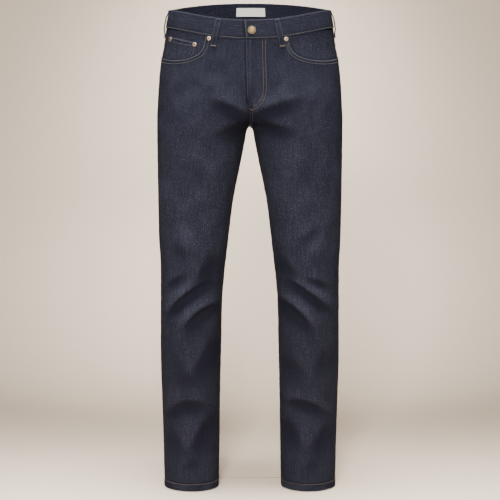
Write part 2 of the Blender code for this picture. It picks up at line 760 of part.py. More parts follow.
def belt_loop(form, name, top_turn, bottom_turn, finish):
    """A strip sewn down at both ends and standing off the waistband between them."""
    t = np.array([0.0, LOOP_END, LOOP_END + LOOP_RAMP / 2, LOOP_END + LOOP_RAMP, 0.5])
    t = np.concatenate([t, 1 - t[-2::-1]])
    height = LOOP_TOP + (LOOP_BOTTOM - LOOP_TOP) * t
    stand = LOOP_STAND * ease(t, LOOP_END * 0.8, LOOP_END + LOOP_RAMP)
    stand *= ease(1 - t, LOOP_END * 0.6, LOOP_END + LOOP_RAMP)
    ground = BAND_PROUD * ease(height, -BAND_HEIGHT - LOOP_STEP, -BAND_HEIGHT - 0.001)
    low = ground + GAP + stand
    half = LOOP_WIDTH / 2 / form.length("front", height)
    turn = (top_turn + (bottom_turn - top_turn) * t)[:, None] + np.stack([-half, 0 * half, half], axis=1)
    heights = height[:, None] + 0 * turn
    lift = (low + LOOP_WALL)[:, None] + 0 * turn
    return cloth_wall(name, form, turn, heights, lift, LOOP_WALL, finish)


def pocket_outline(form, side):
    """The back pocket's five corners, as places on the form."""
    middle = POCKET_FROM_CENTRE + POCKET_TOP_WIDTH / 2
    half_top = POCKET_TOP_WIDTH / 2
    half_low = POCKET_BOTTOM_WIDTH / 2
    corners = (
        (-half_top, 0.0),
        (half_top, 0.0),
        (half_low, POCKET_SIDE),
        (0.0, POCKET_SIDE + POCKET_POINT),
        (-half_low, POCKET_SIDE),
    )
    for across, down in corners:
        share = 1 - (middle + across) / form.length("back", YOKE_CENTRE)
        turn = 1 + share if side == "left" else 3 - share
        yield form.read(turn, yoke_seam(share) - POCKET_UNDER_YOKE - down)


def back_pocket(form, side, panel, finish):
    """A plain five-sided pocket: the back's own points moved out, cut to the pocket's outline."""
    turn, heights = (grid[POCKET_ROWS] for grid in panel)
    pocket = cloth_wall("back_pocket_" + side, form, turn, heights, LAYER_GAP + CLOTH, CLOTH, finish)
    outline = [(point[0], point[2]) for point in pocket_outline(form, side)]
    maker = bmesh.new()
    near, far = ([maker.verts.new((x, y, z)) for x, z in outline] for y in POCKET_CUT_DEPTH)
    maker.faces.new(near)
    maker.faces.new(far)
    for k in range(len(outline)):
        n = (k + 1) % len(outline)
        maker.faces.new((near[k], near[n], far[n], far[k]))
    cutter = add_object("cut_back_pocket_" + side, maker, finish)
    cutter.hide_render = True
    cutter.display_type = "WIRE"
    cut = pocket.modifiers.new("outline", "BOOLEAN")
    cut.operation = "INTERSECT"
    cut.object = cutter


def hem(form, side, finish):
    """The turned-up ring at the end of a leg."""
    round_leg = np.linspace(0.0, 2.0, 33)[:-1]
    start = 0.0 if side == "left" else 2.0
    down = np.linspace(0.0, 1.0, 2)[:, None]
    heights = (HEM_TOP - GAP) * (1 - down) + HEM_BOTTOM * down + 0 * round_leg
    turn = start + round_leg + 0 * heights
    return cloth_wall("hem_" + side, form, turn, heights, HEM_PROUD, HEM_WALL, finish, closed=True)


def button(form, finish):
    """A shank button: a stem out of the waistband, a rimmed disc and a low dome."""
    length = form.length("front", BUTTON_HEIGHT)
    frame = form.frame(BUTTON_FROM_CENTRE / length, BUTTON_HEIGHT, BAND_PROUD + BAND_RAISE + GAP)
    r = BUTTON_RADIUS
    profile = (
        (0.0, 0.0),
        (0.42 * r, 0.0),
        (0.42 * r, 0.0012),
        (0.94 * r, 0.0015),
        (r, 0.0021),
        (0.98 * r, 0.0029),
        (0.88 * r, 0.0033),
        (0.78 * r, 0.0029),
        (0.50 * r, 0.0033),
        (0.0, 0.0036),
    )
    return turned_piece("button", frame, profile, 28, finish)


def rivet(form, name, turn, height, lift, finish):
    """A domed burr with a dimple in its middle."""
    frame = form.frame(turn, height, lift)
    r = RIVET_RADIUS
    profile = (
        (0.0, 0.0),
        (0.96 * r, 0.0),
        (r, 0.0005),
        (0.86 * r, 0.0012),
        (0.42 * r, 0.0014),
        (0.26 * r, 0.0009),
        (0.0, 0.0008),
    )
    return turned_piece(name, frame, profile, 18, finish)


def label(form, finish):
    """A bare woven label on the inside of the waistband at the centre back."""
    length = form.length("back", LABEL_TOP)
    across = np.linspace(-LABEL_WIDTH / 2, LABEL_WIDTH / 2, 7) + LABEL_SHIFT
    down = np.linspace(0.0, 1.0, 2)[:, None]
    heights = LABEL_TOP - LABEL_HEIGHT * down + 0 * across
    turn = 2 - across / length + 0 * heights
    lift = BAND_PROUD - BAND_WALL - LAYER_GAP
    return cloth_wall("label", form, turn, heights, lift, LABEL_WALL, finish)


def make_jeans():
    """Builds every piece as its own object."""
    clear_scene()
    form = Form()
    denim = material("denim", INDIGO, 0.9)
    denim_trim = material("denim_trim", INDIGO_DEEP, 0.9)
    brass = material("brass", BRASS, 0.35, 1.0)
    copper = material("copper", COPPER, 0.35, 1.0)
    woven = material("woven_label", OFF_WHITE, 0.8)
    for side in ("left", "right"):
        front_panel(form, side, denim)
        panel = back_panel(form, side, denim)
        yoke(form, side, denim)
        pocket_facing(form, side, denim_trim)
        back_pocket(form, side, panel, denim)
        hem(form, side, denim_trim)
    coin_pocket(form, denim_trim)
    fly_shield(form, denim_trim)
    waistband(form, denim)
    length = form.length("front", -BAND_HEIGHT)
    loops = (
        ("loop_front_left", 0.0585 / length, 0.0685 / length),
        ("loop_front_right", 4 - 0.0680 / length, 4 - 0.0765 / length),
        ("loop_side_left", 1.0, 1.0),
        ("loop_side_right", 3.0, 3.0),
        ("loop_back", 2.0, 2.0),
    )
    for name, top_turn, bottom_turn in loops:
        belt_loop(form, name, top_turn, bottom_turn, denim_trim)
    button(form, brass)
    rivet(form, "rivet_pocket_left", RIVET_LEFT / length, RIVET_HEIGHT, GAP, copper)
    rivet(form, "rivet_pocket_right", 4 - RIVET_RIGHT / length, RIVET_HEIGHT, GAP, copper)
    rivet_lift = coin_lift() + GAP
    rivet(form, "rivet_coin_inner", 4 - COIN_RIVET_INNER / length, COIN_RIVET_HEIGHT, rivet_lift, copper)
    rivet(form, "rivet_coin_outer", 4 - COIN_RIVET_OUTER / length, COIN_RIVET_HEIGHT, rivet_lift, copper)
    label(form, woven)


make_jeans()
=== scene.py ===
import math

import bpy
import numpy as np
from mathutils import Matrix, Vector


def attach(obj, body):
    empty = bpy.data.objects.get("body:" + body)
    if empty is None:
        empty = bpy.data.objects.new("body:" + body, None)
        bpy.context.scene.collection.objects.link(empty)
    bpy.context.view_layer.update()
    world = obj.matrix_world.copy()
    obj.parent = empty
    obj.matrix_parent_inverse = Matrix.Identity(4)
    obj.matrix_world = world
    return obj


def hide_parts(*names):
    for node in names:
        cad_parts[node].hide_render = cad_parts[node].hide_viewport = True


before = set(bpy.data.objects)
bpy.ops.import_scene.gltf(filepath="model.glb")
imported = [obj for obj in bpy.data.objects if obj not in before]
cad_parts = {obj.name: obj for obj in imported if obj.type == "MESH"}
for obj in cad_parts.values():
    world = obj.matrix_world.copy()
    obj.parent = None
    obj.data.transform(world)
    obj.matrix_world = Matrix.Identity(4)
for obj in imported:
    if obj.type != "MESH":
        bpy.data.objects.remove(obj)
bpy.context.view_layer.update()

camera = {
    "place": (0.0004, -3.0, -0.1245),
    "pitchDown": 7.598,  # degrees
    "lens": 98.25,
}

form = {  # sizes of the body of the jeans; a height runs down from the waistband's top edge
    "fork": -0.250,
    "centreX": 0.0002,
    "tilt": 0.228,
    "tiltBow": 0.54,
    "tiltEnds": (-0.21, -0.05),
    "sag": {"front": 1.5, "back": 0.8},  # how late the rim falls or rises on its way from the side seam
    "sagEnds": (-0.075, -0.042),
    "backRise": 0.0020,
    "roundness": 0.57,
    "forkReach": (-0.200, -0.266),
    "forkShare": 0.74,
    "roundSteps": 128,
    "unevenness": 0.0007,
    # height, side seam x
    "outline": [
        (0.004, 0.1712), (-0.020, 0.1784), (-0.043, 0.1822), (-0.075, 0.1862), (-0.107, 0.1925),
        (-0.150, 0.1975), (-0.194, 0.2005), (-0.250, 0.2028), (-0.325, 0.2024), (-0.413, 0.2016),
        (-0.502, 0.2000), (-0.560, 0.1972), (-0.640, 0.1980), (-0.770, 0.1994), (-0.865, 0.1974),
        (-0.958, 0.1955), (-1.070, 0.1937),
    ],
    # height, inner end x: past the middle above the fork, where the centre seam cuts it off
    "inseam": [
        (0.0040, -0.3000), (-0.1100, -0.2500), (-0.1500, -0.1780), (-0.1850, -0.1060),
        (-0.2080, -0.0660), (-0.2260, -0.0390), (-0.2390, -0.0185), (-0.2460, -0.0068),
        (-0.2500, 0.0002), (-0.2530, 0.0034), (-0.2590, 0.0070), (-0.2810, 0.0112),
        (-0.3250, 0.0198), (-0.3690, 0.0290), (-0.4130, 0.0374), (-0.5020, 0.0485),
        (-0.5920, 0.0586), (-0.6370, 0.0622), (-0.7280, 0.0643), (-0.8650, 0.0677),
        (-0.9580, 0.0692), (-1.0700, 0.0713),
    ],
    # height, front y, back y, side seam y, front crown x, back crown x
    "profile": [
        (0.004, -0.0850, 0.0875, 0.0020, 0.000, 0.000), (-0.040, -0.0890, 0.0965, 0.0020, 0.000, 0.004),
        (-0.075, -0.0920, 0.1065, 0.0020, 0.004, 0.014), (-0.110, -0.0950, 0.1165, 0.0010, 0.016, 0.032),
        (-0.150, -0.0980, 0.1245, 0.0000, 0.045, 0.058), (-0.190, -0.1000, 0.1260, 0.0000, 0.072, 0.079),
        (-0.220, -0.1010, 0.1210, 0.0000, 0.085, 0.090), (-0.250, -0.1000, 0.1100, 0.0000, 0.094, 0.098),
        (-0.290, -0.0965, 0.1000, -0.002, 0.104, 0.106), (-0.350, -0.0900, 0.0895, -0.0035, 0.112, 0.113),
        (-0.413, -0.0840, 0.0790, -0.005, 0.118, 0.119), (-0.502, -0.0765, 0.0660, -0.0070, 0.123, 0.124),
        (-0.592, -0.0700, 0.0570, -0.007, 0.128, 0.128), (-0.682, -0.0640, 0.0590, -0.0020, 0.131, 0.131),
        (-0.773, -0.0570, 0.0645, 0.0040, 0.132, 0.132), (-0.865, -0.0490, 0.0660, 0.0080, 0.132, 0.132),
        (-0.958, -0.0440, 0.0635, 0.0095, 0.132, 0.132), (-1.070, -0.0430, 0.0613, 0.0095, 0.132, 0.132),
    ],
}

# Folds by face: start x z, middle x z, end x z, width, depth, lip. A trough has a negative depth; with
# a lip it breaks sharply from a crest above it, falls to its line and eases out below.
folds = {
    "front": [
        (-0.008, -0.236, -0.041, -0.214, -0.090, -0.200, 0.011, -0.0042, 0.6),
        (0.008, -0.236, 0.047, -0.216, 0.118, -0.198, 0.012, -0.0046, 0.6),
        (0.016, -0.246, 0.047, -0.254, 0.098, -0.264, 0.011, -0.0040, 0.3),
        (-0.016, -0.250, -0.036, -0.259, -0.082, -0.271, 0.012, -0.0030, 0.3),
        (0.072, -0.173, 0.091, -0.167, 0.116, -0.162, 0.008, -0.0006, 0.4),
        (-0.060, -0.180, -0.092, -0.170, -0.126, -0.166, 0.008, -0.0005, 0.4),
        (-0.157, -0.449, -0.142, -0.477, -0.129, -0.508, 0.012, 0.0024, 0.0),
        (-0.164, -0.500, -0.151, -0.517, -0.134, -0.536, 0.010, -0.0014, 0.5),
        (-0.180, -0.668, -0.142, -0.623, -0.084, -0.590, 0.0078, -0.0060, 0.7),
        (-0.150, -0.640, -0.107, -0.585, -0.074, -0.520, 0.0130, -0.0036, 0.2),
        (-0.180, -0.604, -0.162, -0.586, -0.138, -0.571, 0.008, -0.0026, 0.5),
        (-0.142, -0.698, -0.110, -0.662, -0.064, -0.640, 0.0100, -0.0058, 0.7),
        (-0.074, -0.708, -0.095, -0.763, -0.138, -0.820, 0.016, -0.0034, 0.3),
        (-0.187, -0.907, -0.142, -0.868, -0.080, -0.884, 0.011, -0.0038, 0.2),
        (-0.079, -0.892, -0.104, -0.936, -0.128, -0.982, 0.014, -0.0036, 0.2),
        (-0.184, -0.925, -0.166, -0.958, -0.150, -0.992, 0.014, -0.0022, 0.2),
        (-0.118, -0.985, -0.130, -1.005, -0.146, -1.020, 0.010, -0.0014, 0.3),
        (0.162, -0.478, 0.143, -0.506, 0.120, -0.534, 0.012, 0.0026, 0.0),
        (0.106, -0.502, 0.130, -0.485, 0.154, -0.469, 0.010, -0.0018, 0.5),
        (0.082, -0.588, 0.127, -0.615, 0.174, -0.652, 0.0078, -0.0060, 0.7),
        (0.062, -0.526, 0.081, -0.560, 0.110, -0.588, 0.012, -0.0028, 0.2),
        (0.118, -0.583, 0.146, -0.587, 0.176, -0.603, 0.007, -0.0030, 0.5),
        (0.056, -0.631, 0.096, -0.655, 0.136, -0.700, 0.0105, -0.0048, 0.7),
        (0.072, -0.757, 0.096, -0.781, 0.126, -0.804, 0.015, -0.0018, 0.3),
        (0.078, -0.866, 0.124, -0.865, 0.178, -0.896, 0.009, -0.0042, 0.25),
        (0.076, -0.900, 0.092, -0.936, 0.112, -0.984, 0.015, -0.0025, 0.2),
        (0.184, -0.912, 0.160, -0.948, 0.134, -0.988, 0.015, -0.0026, 0.2),
        (0.150, -0.985, 0.138, -1.005, 0.120, -1.022, 0.010, -0.0014, 0.3),
        (-0.150, -0.330, -0.120, -0.352, -0.086, -0.384, 0.024, -0.0016, 0.2),
        (0.156, -0.322, 0.122, -0.350, 0.092, -0.398, 0.024, -0.0016, 0.2),
        (-0.160, -0.760, -0.150, -0.790, -0.132, -0.826, 0.013, -0.0016, 0.3),
        (0.176, -0.735, 0.158, -0.770, 0.150, -0.812, 0.014, -0.0018, 0.3),
    ],
    "back": [
        (-0.178, -0.584, -0.130, -0.606, -0.078, -0.588, 0.011, -0.0062, 0.6),
        (-0.176, -0.640, -0.130, -0.628, -0.076, -0.654, 0.011, -0.0054, 0.6),
        (-0.150, -0.614, -0.122, -0.616, -0.096, -0.612, 0.007, -0.0022, 0.4),
        (-0.172, -0.702, -0.126, -0.676, -0.080, -0.692, 0.012, -0.0036, 0.5),
        (-0.168, -0.540, -0.140, -0.556, -0.104, -0.552, 0.012, -0.0024, 0.5),
        (0.076, -0.594, 0.130, -0.612, 0.180, -0.586, 0.011, -0.0060, 0.6),
        (0.078, -0.656, 0.128, -0.634, 0.178, -0.648, 0.011, -0.0054, 0.6),
        (0.104, -0.620, 0.130, -0.622, 0.158, -0.616, 0.007, -0.0022, 0.4),
        (0.082, -0.698, 0.130, -0.682, 0.172, -0.708, 0.012, -0.0034, 0.5),
        (0.096, -0.548, 0.128, -0.560, 0.166, -0.544, 0.012, -0.0024, 0.5),
        (-0.024, -0.262, -0.080, -0.292, -0.150, -0.284, 0.012, -0.0044, 0.4),
        (0.024, -0.260, 0.084, -0.290, 0.154, -0.286, 0.012, -0.0046, 0.4),
        (-0.030, -0.286, -0.070, -0.322, -0.118, -0.330, 0.012, -0.0026, 0.4),
        (0.030, -0.284, 0.072, -0.324, 0.124, -0.334, 0.012, -0.0026, 0.4),
        (-0.160, -0.420, -0.128, -0.446, -0.092, -0.440, 0.016, -0.0018, 0.3),
        (0.094, -0.436, 0.128, -0.452, 0.162, -0.430, 0.016, -0.0018, 0.3),
        (-0.176, -0.902, -0.130, -0.880, -0.082, -0.896, 0.012, -0.0040, 0.5),
        (-0.168, -0.950, -0.132, -0.934, -0.092, -0.952, 0.013, -0.0028, 0.4),
        (0.082, -0.898, 0.130, -0.878, 0.176, -0.894, 0.012, -0.0040, 0.5),
        (0.090, -0.956, 0.130, -0.938, 0.170, -0.950, 0.013, -0.0028, 0.4),
        (-0.158, -0.780, -0.136, -0.800, -0.104, -0.812, 0.014, -0.0016, 0.3),
        (0.108, -0.790, 0.134, -0.806, 0.160, -0.806, 0.014, -0.0016, 0.3),
    ],
}

cut = {  # the cloth and its seams
    "cloth": 0.0012,
    "gap": 0.0003,
    "layerGap": 0.0008,
    "bandHeight": 0.039,
    "hemTop": -1.0465,
    "hemBottom": -1.0640,
    "fellWidth": 0.0098,  # a flat-felled seam's raised strip
    "fellRise": 0.0005,
    "rowNear": 0.0018,  # stitch rows from a seam
    "rowFar": 0.0080,
    "ridgeRise": 0.00028,  # the seam allowance's ridge beside the side seam
    "ridgeFrom": 0.0085,
    "pucker": 0.00034,
    "inseamPuckers": (0.262, 0.30),  # how far down they set in
    "edgeRound": 0.0006,  # how a cut edge rolls over, and how far at most
    "edgeFall": 0.0005,
}
upward = np.array([0.0, 0.0, 1.0])
waistSeam = -cut["bandHeight"] - cut["gap"]
layerUnder = -cut["cloth"] - cut["layerGap"]

front = {
    "mouthStart": {"left": 0.0840, "right": 0.0955},
    "mouthDepth": 0.061,
    "mouthPower": 2.65,
    "blockEnd": -0.135,
    "rows": (42, 300),
    "columns": (42, 46),
    "flyLapTop": 0.0080,
    "flyLapLow": 0.0050,
    "flyEnd": -0.200,
    "flyFade": 0.018,
    "flyRise": 0.010,
    "flyFlat": 0.0012,
    # the fly's stitched shape: its width, how much narrower its top is, and where it turns in
    "placket": 0.0359,
    "placketNarrow": 0.0017,
    "placketTurn": -0.168,
    "placketEnd": -0.214,
    "placketLift": 0.0006,
}

back = {
    "yokeSide": -0.081,
    "yokeCentre": -0.119,
    "blockEnd": -0.150,
    "rows": (24, 290),
    "columns": 84,
    "pocketUnderYoke": 0.020,
    "pocketTop": 0.150,
    "pocketBottom": 0.132,
    "pocketSide": 0.126,
    "pocketPoint": 0.022,
    "pocketFromCentre": 0.034,
    "yokeGrid": (34, 96),
    "pocketGrid": (60, 64),
    "pocketEdge": 0.0014,  # how far its sewn edges and its middle stand out
    "pocketRise": 0.0006,
    "pocketGape": 0.0009,
    "pocketTurn": 0.27,  # metres of cloth in one turn at the pocket
}


def readTable(rows, place, height):
    # one column of a table at any height: cubic pieces through its rows whose slopes are the harmonic
    # mean of the slopes on each side, so that they never overshoot
    table = np.array(rows)[::-1]
    x, y = table[:, 0], table[:, place]
    step = np.diff(x)
    slope = np.diff(y) / step
    before, after = slope[:-1], slope[1:]
    sameWay = before * after > 0
    weightA, weightB = 2 * step[1:] + step[:-1], step[1:] + 2 * step[:-1]
    mean = (weightA + weightB) / (
        weightA / np.where(sameWay, before, 1.0) + weightB / np.where(sameWay, after, 1.0)
    )
    tangent = np.concatenate([[slope[0]], np.where(sameWay, mean, 0.0), [slope[-1]]])
    k = np.clip(np.searchsorted(x, height) - 1, 0, len(step) - 1)
    t = (height - x[k]) / step[k]
    return (
        (1 + 2 * t) * (1 - t) ** 2 * y[k]
        + t * (1 - t) ** 2 * step[k] * tangent[k]
        + t**2 * (3 - 2 * t) * y[k + 1]
        + t**2 * (t - 1) * step[k] * tangent[k + 1]
    )


def ease(value, low, high):
    # 0 below low, 1 above high, 3t^2 - 2t^3 between
    t = np.clip((value - low) / (high - low), 0.0, 1.0)
    return t * t * (3 - 2 * t)


def bump(value, middle, half):
    # a soft hump of height 1: exp(-((value - middle) / half)^2)
    return np.exp(-(((value - middle) / half) ** 2))


def wander(position, seed, spacing):
    # a smooth random run from -1 to 1: random knots every spacing, eased from one to the next
    knots = np.random.default_rng(seed).uniform(-1.0, 1.0, 997)
    x = np.asarray(position) / spacing + 400
    k = np.floor(x).astype(int)
    t = ease(x - k, 0.0, 1.0)
    return knots[k % 997] * (1 - t) + knots[(k + 1) % 997] * t


def crowded(count, crowd=0.85):
    # places from 0 to 1, closest at both ends: t - crowd sin(2 pi t) / (2 pi)
    t = np.linspace(0.0, 1.0, count)
    return t - crowd * np.sin(2 * np.pi * t) / (2 * np.pi)


def roll(distance, radius=cut["edgeRound"]):
    # how far a turned edge falls away within one radius of it: r - sqrt(r^2 - (r - d)^2)
    d = np.clip(distance, 0.0, radius)
    return radius - np.sqrt(np.maximum(radius**2 - (radius - d) ** 2, 0.0))


def bezier(a, b, c, d, steps):
    # cubic curves with these ends and handles, one for each row
    t = np.linspace(0.0, 1.0, steps + 1)[None, :, None]
    a, b, c, d = (point[:, None, :] for point in (a, b, c, d))
    return (1 - t) ** 3 * a + 3 * (1 - t) ** 2 * t * b + 3 * (1 - t) * t**2 * c + t**3 * d


def unit(vectors):
    return vectors / np.linalg.norm(vectors, axis=-1, keepdims=True)


def gridFaces(rows, columns, closed):
    # four corners for each face of a grid of points; a closed one joins its last column to its first
    i, j = np.meshgrid(np.arange(rows - 1), np.arange(columns if closed else columns - 1), indexing="ij")
    k = (j + 1) % columns
    corners = [i * columns + j, i * columns + k, (i + 1) * columns + k, (i + 1) * columns + j]
    return np.stack(corners, axis=-1)


class JeansForm:
    # The surface that every piece of cloth is read from. turn goes round the body: 0 centre front or
    # left inseam, 1 left side seam, 2 centre back, 3 right side seam, 4 centre front or right inseam.
    def __init__(self):
        self.heights = np.concatenate(
            [
                np.linspace(0.004, -0.200, 70)[:-1],
                -0.200 - 0.050 * (1 - (1 - np.linspace(0.0, 1.0, 46)) ** 2)[:-1],
                -0.250 - 0.050 * np.linspace(0.0, 1.0, 36)[:-1] ** 2,
                np.linspace(-0.300, -1.070, 332),
            ]
        )
        self.points, self.normals, self.fades, self.lengths = [], [], [], {}
        quarter = {}
        for side in (1, -1):
            for face in ("front", "back"):
                points, self.lengths[face] = self.sections(face)
                points = points * (side, 1, 1)
                normals = self.outward(points, face)
                fold = foldDepth(points, normals, face)
                push = fold + self.uneven(points, normals, side)
                points = points + normals * push[:, :, None]
                heightShade = 0.42 * bump(points[:, :, 2], -0.38, 0.15) - 0.30  # lighter on the thighs, where denim fades first, and painted shade over the hips and from the knees down
                # painted shade in the fold troughs and painted highlight on the fold crests, from the
                # fold depth
                paintedShading = np.clip(fold / 0.0045 + heightShade, -1, 1)
                quarter[side, face] = [points, self.outward(points, face), paintedShading[:, :, None]]
            below = self.heights < form["fork"]
            for rows, place in ((slice(None), 0), (below, -1)):
                ahead, behind = (quarter[side, face][1] for face in ("front", "back"))
                mean = unit(ahead[rows, place] + behind[rows, place])
                ahead[rows, place] = behind[rows, place] = mean
        for side, face, step in ((1, "front", -1), (1, "back", 1), (-1, "back", -1), (-1, "front", 1)):
            points, normals, fade = quarter[side, face]
            self.points.append(points[:, ::step])
            self.normals.append(normals[:, ::step])
            self.fades.append(fade[:, ::step])

    def sections(self, face):
        # two Bezier quarters from side seam over the crown to the inner end, cut off at the middle and
        # respaced evenly
        h, steps = self.heights, form["roundSteps"]
        sideX = readTable(form["outline"], 1, h)
        innerX = readTable(form["inseam"], 1, h)
        crownY = readTable(form["profile"], 1 if face == "front" else 2, h)
        seamY = readTable(form["profile"], 3, h)
        crownX = readTable(form["profile"], 4 if face == "front" else 5, h)
        zero = np.zeros_like(h)
        ends = ((sideX, seamY), (crownX, crownY), (innerX, seamY))
        side, crown, inner = (np.stack(end, axis=1) for end in ends)
        outward = form["roundness"] * np.stack([zero, crownY - seamY], axis=1)
        toSide = form["roundness"] * np.stack([sideX - crownX, zero], axis=1)
        toInner = form["roundness"] * np.stack([innerX - crownX, zero], axis=1)
        plan = np.concatenate(
            [
                bezier(side, side + outward, crown + toSide, crown, 90),
                bezier(crown, crown + toInner, inner + outward, inner, 90)[:, 1:],
            ],
            axis=1,
        )
        along = np.cumsum(np.linalg.norm(np.diff(plan, axis=1), axis=2), axis=1)
        along = np.concatenate([np.zeros((len(h), 1)), along], axis=1)
        wanted = np.linspace(0.0, 1.0, steps + 1)
        even, lengths = np.empty((len(h), steps + 1, 3)), np.empty(len(h))
        for row, (curve, length) in enumerate(zip(plan, along)):
            lengths[row] = np.interp(-form["centreX"], -curve[:, 0], length)
            even[row, :, 0] = np.interp(wanted * lengths[row], length, curve[:, 0])
            even[row, :, 1] = np.interp(wanted * lengths[row], length, curve[:, 1])
        tilt = form["tilt"] * even[:, :, 1] - form["tiltBow"] * even[:, :, 1] ** 2
        depth = np.minimum(np.abs(even[:, :, 1] / crownY[:, None]), 1.0)
        tilt = tilt * depth ** (form["sag"][face] * ease(h, *form["sagEnds"]))[:, None]
        even[:, :, 2] = h[:, None] + tilt * ease(h, *form["tiltEnds"])[:, None]
        if face == "back":
            even[:, :, 2] += form["backRise"] * depth**2 * ease(h, -cut["bandHeight"], 0.0)[:, None]
        return even, lengths

    def outward(self, points, face):
        # unit cross product of the steps across and down, turned away from the body
        normals = unit(np.cross(np.gradient(points, axis=1), np.gradient(points, axis=0)))
        middle = normals[: len(normals) // 8, normals.shape[1] // 2, 1].mean()
        return normals * (1 if (middle < 0) == (face == "front") else -1)

    def uneven(self, points, normals, side):
        # slow random swells, a sum of sines across x and z, fading out at the waist, the seams and the
        # crotch
        x, y, z = points[:, :, 0], points[:, :, 1], points[:, :, 2]
        rng = np.random.default_rng(31 + side)
        total = np.zeros(x.shape)
        for _ in range(9):
            angle, wave, start = rng.uniform(0, np.pi), rng.uniform(0.045, 0.15), rng.uniform(0, 7)
            across = x * np.cos(angle) * 1.6 + z * np.sin(angle) + 0.4 * y
            total += np.sin(across / wave * 2 * np.pi + start)
        calm = ease(-z, 0.05, 0.16) * ease(-z, 0.0, 0.1) * ease(np.abs(normals[:, :, 1]), 0.05, 0.5)
        calm *= 1 - bump(z, form["fork"], 0.03) * (np.abs(x) < 0.05)
        return form["unevenness"] * total / 2.2 * calm

    def length(self, face, height):
        return np.interp(-np.asarray(height), -self.heights, self.lengths[face])

    def spread(self, face, height, columns):
        # shares of a section for these columns; the outer ones pass the fork without a bend
        full = self.length(face, height)
        steady = (self.heights > form["forkReach"][0]) | (self.heights < form["forkReach"][1])
        even = np.interp(-np.asarray(height), -self.heights[steady], self.lengths[face][steady])
        share = form["forkShare"]
        rest = (np.maximum(columns, share) - share) / (1 - share)
        return (np.minimum(columns, share) * even + rest * (full - share * even)) / full

    def mix(self, grids, turn, height):
        # bilinear reading of the four quarters' grids
        row = np.interp(-height, -self.heights, np.arange(len(self.heights)))
        i = np.clip(row.astype(int), 0, len(self.heights) - 2)
        a = (row - i)[..., None]
        quarter = np.clip(np.mod(turn, 4.0).astype(int), 0, 3)
        across = (np.mod(turn, 4.0) - quarter) * form["roundSteps"]
        j = np.clip(across.astype(int), 0, form["roundSteps"] - 1)
        b = (across - j)[..., None]
        stack = np.stack(grids)
        near = stack[quarter, i, j] * (1 - a) + stack[quarter, i + 1, j] * a
        far = stack[quarter, i, j + 1] * (1 - a) + stack[quarter, i + 1, j + 1] * a
        return near * (1 - b) + far * b

    def read(self, turn, height, lift=0.0):
        # points moved out from the surface by lift
        turn, height, lift = np.broadcast_arrays(turn, height, lift)
        out = unit(self.mix(self.normals, turn, height))
        return self.mix(self.points, turn, height) + out * lift[..., None]

    def fade(self, turn, height):
        # painted shade in the folds' troughs and painted highlight on their crests, from -1 in a trough
        # to 1 on a crest, with the shading by height
        turn, height = np.broadcast_arrays(turn, height)
        return self.mix(self.fades, turn, height)[..., 0]

    def outs(self, turn, height):
        turn, height = np.broadcast_arrays(turn, height)
        return unit(self.mix(self.normals, turn, height))


def foldDepth(points, normals, face):
    # each fold is a parabola through three places, s the distance below it. A plain one pushes by
    # e^-(s/w)^2. One with a lip swells up to a crest at s = -f, falls as a quarter sine to s = 0 and
    # eases out as e^-(s/1.25f)^2, with f = 1.35w. Both taper to nothing at their ends.
    total = np.zeros(points.shape[:2])
    t = np.linspace(0.0, 1.0, 33)
    for sx, sz, mx, mz, ex, ez, width, depth, lip in folds[face]:
        x, z = (
            (1 - t) ** 2 * a + 2 * (1 - t) * t * (2 * b - (a + c) / 2) + t**2 * c
            for a, b, c in ((sx, mx, ex), (sz, mz, ez))
        )
        tall = (points[:, 0, 2] < z.max() + 4 * width) & (points[:, 0, 2] > z.min() - 5 * width)
        here = points[tall]
        dx, dz = here[:, :, None, 0] - x, here[:, :, None, 2] - z
        nearest = (dx**2 + dz**2).argmin(axis=2)
        tx, tz = np.gradient(x)[nearest], np.gradient(z)[nearest]
        ndx = np.take_along_axis(dx, nearest[..., None], 2)[..., 0]
        ndz = np.take_along_axis(dz, nearest[..., None], 2)[..., 0]
        away = np.hypot(ndx, ndz)
        below = np.where((tz * ndx - tx * ndz) * np.sign(tx) > 0, 1.0, -1.0)
        s = away * below
        if lip > 0:
            fall = 1.35 * width
            swell = -lip * bump(s, -fall, 1.5 * fall)
            drop = (1 + lip) * np.sin(np.pi / 2 * np.clip(s / fall + 1, 0.0, 1.0)) - lip
            shape = np.where(s < -fall, swell, np.where(s < 0, drop, bump(s, 0.0, 1.25 * fall)))
        else:
            shape = np.exp(-((s / width) ** 2))
        taper = np.sin(np.pi * np.clip(t[nearest], 0.02, 0.98)) ** 0.75
        facing = ease(np.abs(normals[tall][:, :, 1]), 0.04, 0.40)
        middle = np.where(here[:, :, 2] > -0.275, ease(np.abs(here[:, :, 0]), 0.001, 0.016), 1.0)
        total[tall] += depth * taper * shape * facing * middle
    return total


